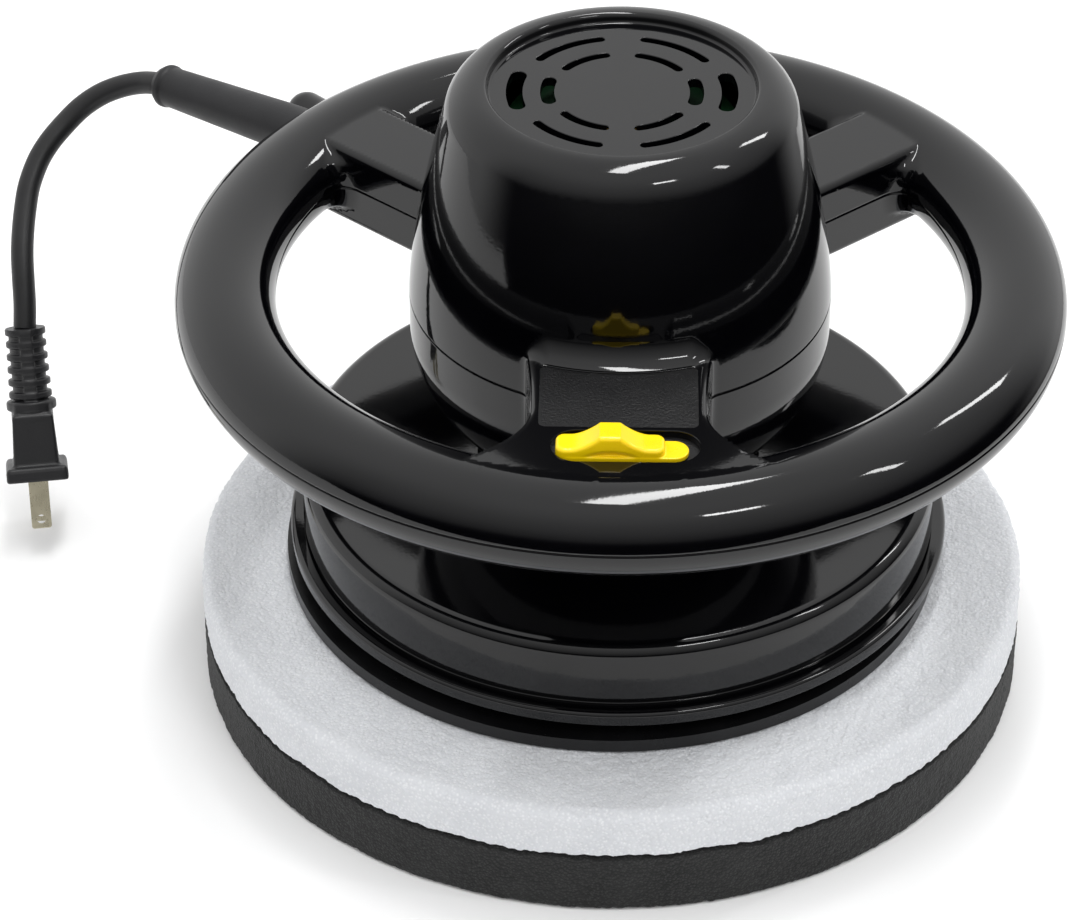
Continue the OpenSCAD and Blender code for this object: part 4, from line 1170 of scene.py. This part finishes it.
# ---- Studio ----
def flat_material(name, colour, rough):
    s = Shader(name, Specular_IOR_Level=0.2)
    s.colour(s.mix_colour(s.ramp(s.noise(3, 3), 0.3, 0.7, 0, 1), colour, tuple(c * 0.985 for c in colour)))
    s.roughness(s.ramp(s.noise(40, 3), 0.3, 0.7, rough, min(1.0, rough * 1.1)))
    return s.material


def area_light(name, place, size, power):
    """A soft white light at place, in metres, that faces the machine."""
    data = bpy.data.lights.new(name, "AREA")
    data.shape = "RECTANGLE"
    data.size, data.size_y = size
    data.energy = power
    light = bpy.data.objects.new(name, data)
    away = Vector(place) - Vector((0, 0, 0.15))
    light.matrix_world = Matrix.Translation(place) @ away.to_track_quat("Z", "Y").to_matrix().to_4x4()
    bpy.context.scene.collection.objects.link(light)
    return light


def sky():
    """Bright above and behind, dim in front, and dark past the table's front edge."""
    world = bpy.data.worlds.new("studio")
    bpy.context.scene.world = world
    world.use_nodes = True
    nodes, links = world.node_tree.nodes, world.node_tree.links
    where = nodes.new("ShaderNodeTexCoord").outputs["Generated"]
    split = nodes.new("ShaderNodeSeparateXYZ")
    links.new(where, split.inputs[0])
    height = nodes.new("ShaderNodeMapRange")
    height.inputs["From Min"].default_value = -1
    links.new(split.outputs["Z"], height.inputs["Value"])
    sides = []
    for stops in (
        [(0.3, 0.01), (0.4, 0.015), (0.45, 0.05), (0.52, 0.25), (0.66, 0.5), (0.8, 0.7), (0.97, 1.05)],
        [(0.28, 0.04), (0.33, 0.6), (0.42, 0.9), (0.6, 1.05), (0.97, 1.1)],
    ):
        ramp = nodes.new("ShaderNodeValToRGB").color_ramp
        for i, (place, value) in enumerate(stops):
            stop = ramp.elements[i] if i < 2 else ramp.elements.new(place)
            stop.position = place
            stop.color = (value, value, value, 1)
        node = nodes[-1]
        links.new(height.outputs["Result"], node.inputs[0])
        sides.append(node.outputs["Color"])
    behind = nodes.new("ShaderNodeVectorMath")
    behind.operation = "DOT_PRODUCT"
    behind.inputs[1].default_value = (-0.35, 0.94, 0)
    links.new(where, behind.inputs[0])
    turn = nodes.new("ShaderNodeMapRange")
    turn.interpolation_type = "SMOOTHSTEP"
    turn.inputs["From Min"].default_value = -0.1
    turn.inputs["From Max"].default_value = 0.45
    links.new(behind.outputs["Value"], turn.inputs["Value"])
    mix = nodes.new("ShaderNodeMix")
    mix.data_type = "RGBA"
    links.new(turn.outputs["Result"], mix.inputs["Factor"])
    links.new(sides[0], mix.inputs[6])
    links.new(sides[1], mix.inputs[7])
    links.new(mix.outputs[2], nodes["Background"].inputs["Color"])


def make_studio():
    """A white floor, and a dimmer table top that only the glossy pieces mirror."""
    floor = cylinder("floor", 6000, -1.05, -0.05, sides=96)
    floor.data.materials.append(flat_material("paper", (0.9, 0.9, 0.9), 0.8))
    floor.visible_glossy = False
    sheet = block("table_top", (-200, 282.5), (550, 617.5), -0.5, 0)
    sheet.data.materials.append(flat_material("dim_paper", (0.77, 0.77, 0.77), 0.8))
    sheet.visible_camera = sheet.visible_shadow = sheet.visible_diffuse = False
    sky()
    # ceiling lamps, as the ring and the dome mirror them
    area_light("lamp_overhead", (0.1, 0.4, 2.1), (0.22, 1.3), 16)
    area_light("lamp_front", (0.9, -1.35, 2.1), (0.5, 0.14), 5)
    area_light("lamp_right", (2.0, 1.15, 2.1), (0.22, 0.9), 10)
    area_light("lamp_right_front", (2.1, -0.45, 2.1), (0.16, 0.6), 5)
    area_light("fill", (0, -1.5, 2.2), (3, 3), 24).visible_glossy = False


make_studio()
bpy.context.scene.view_settings.view_transform = "Standard"
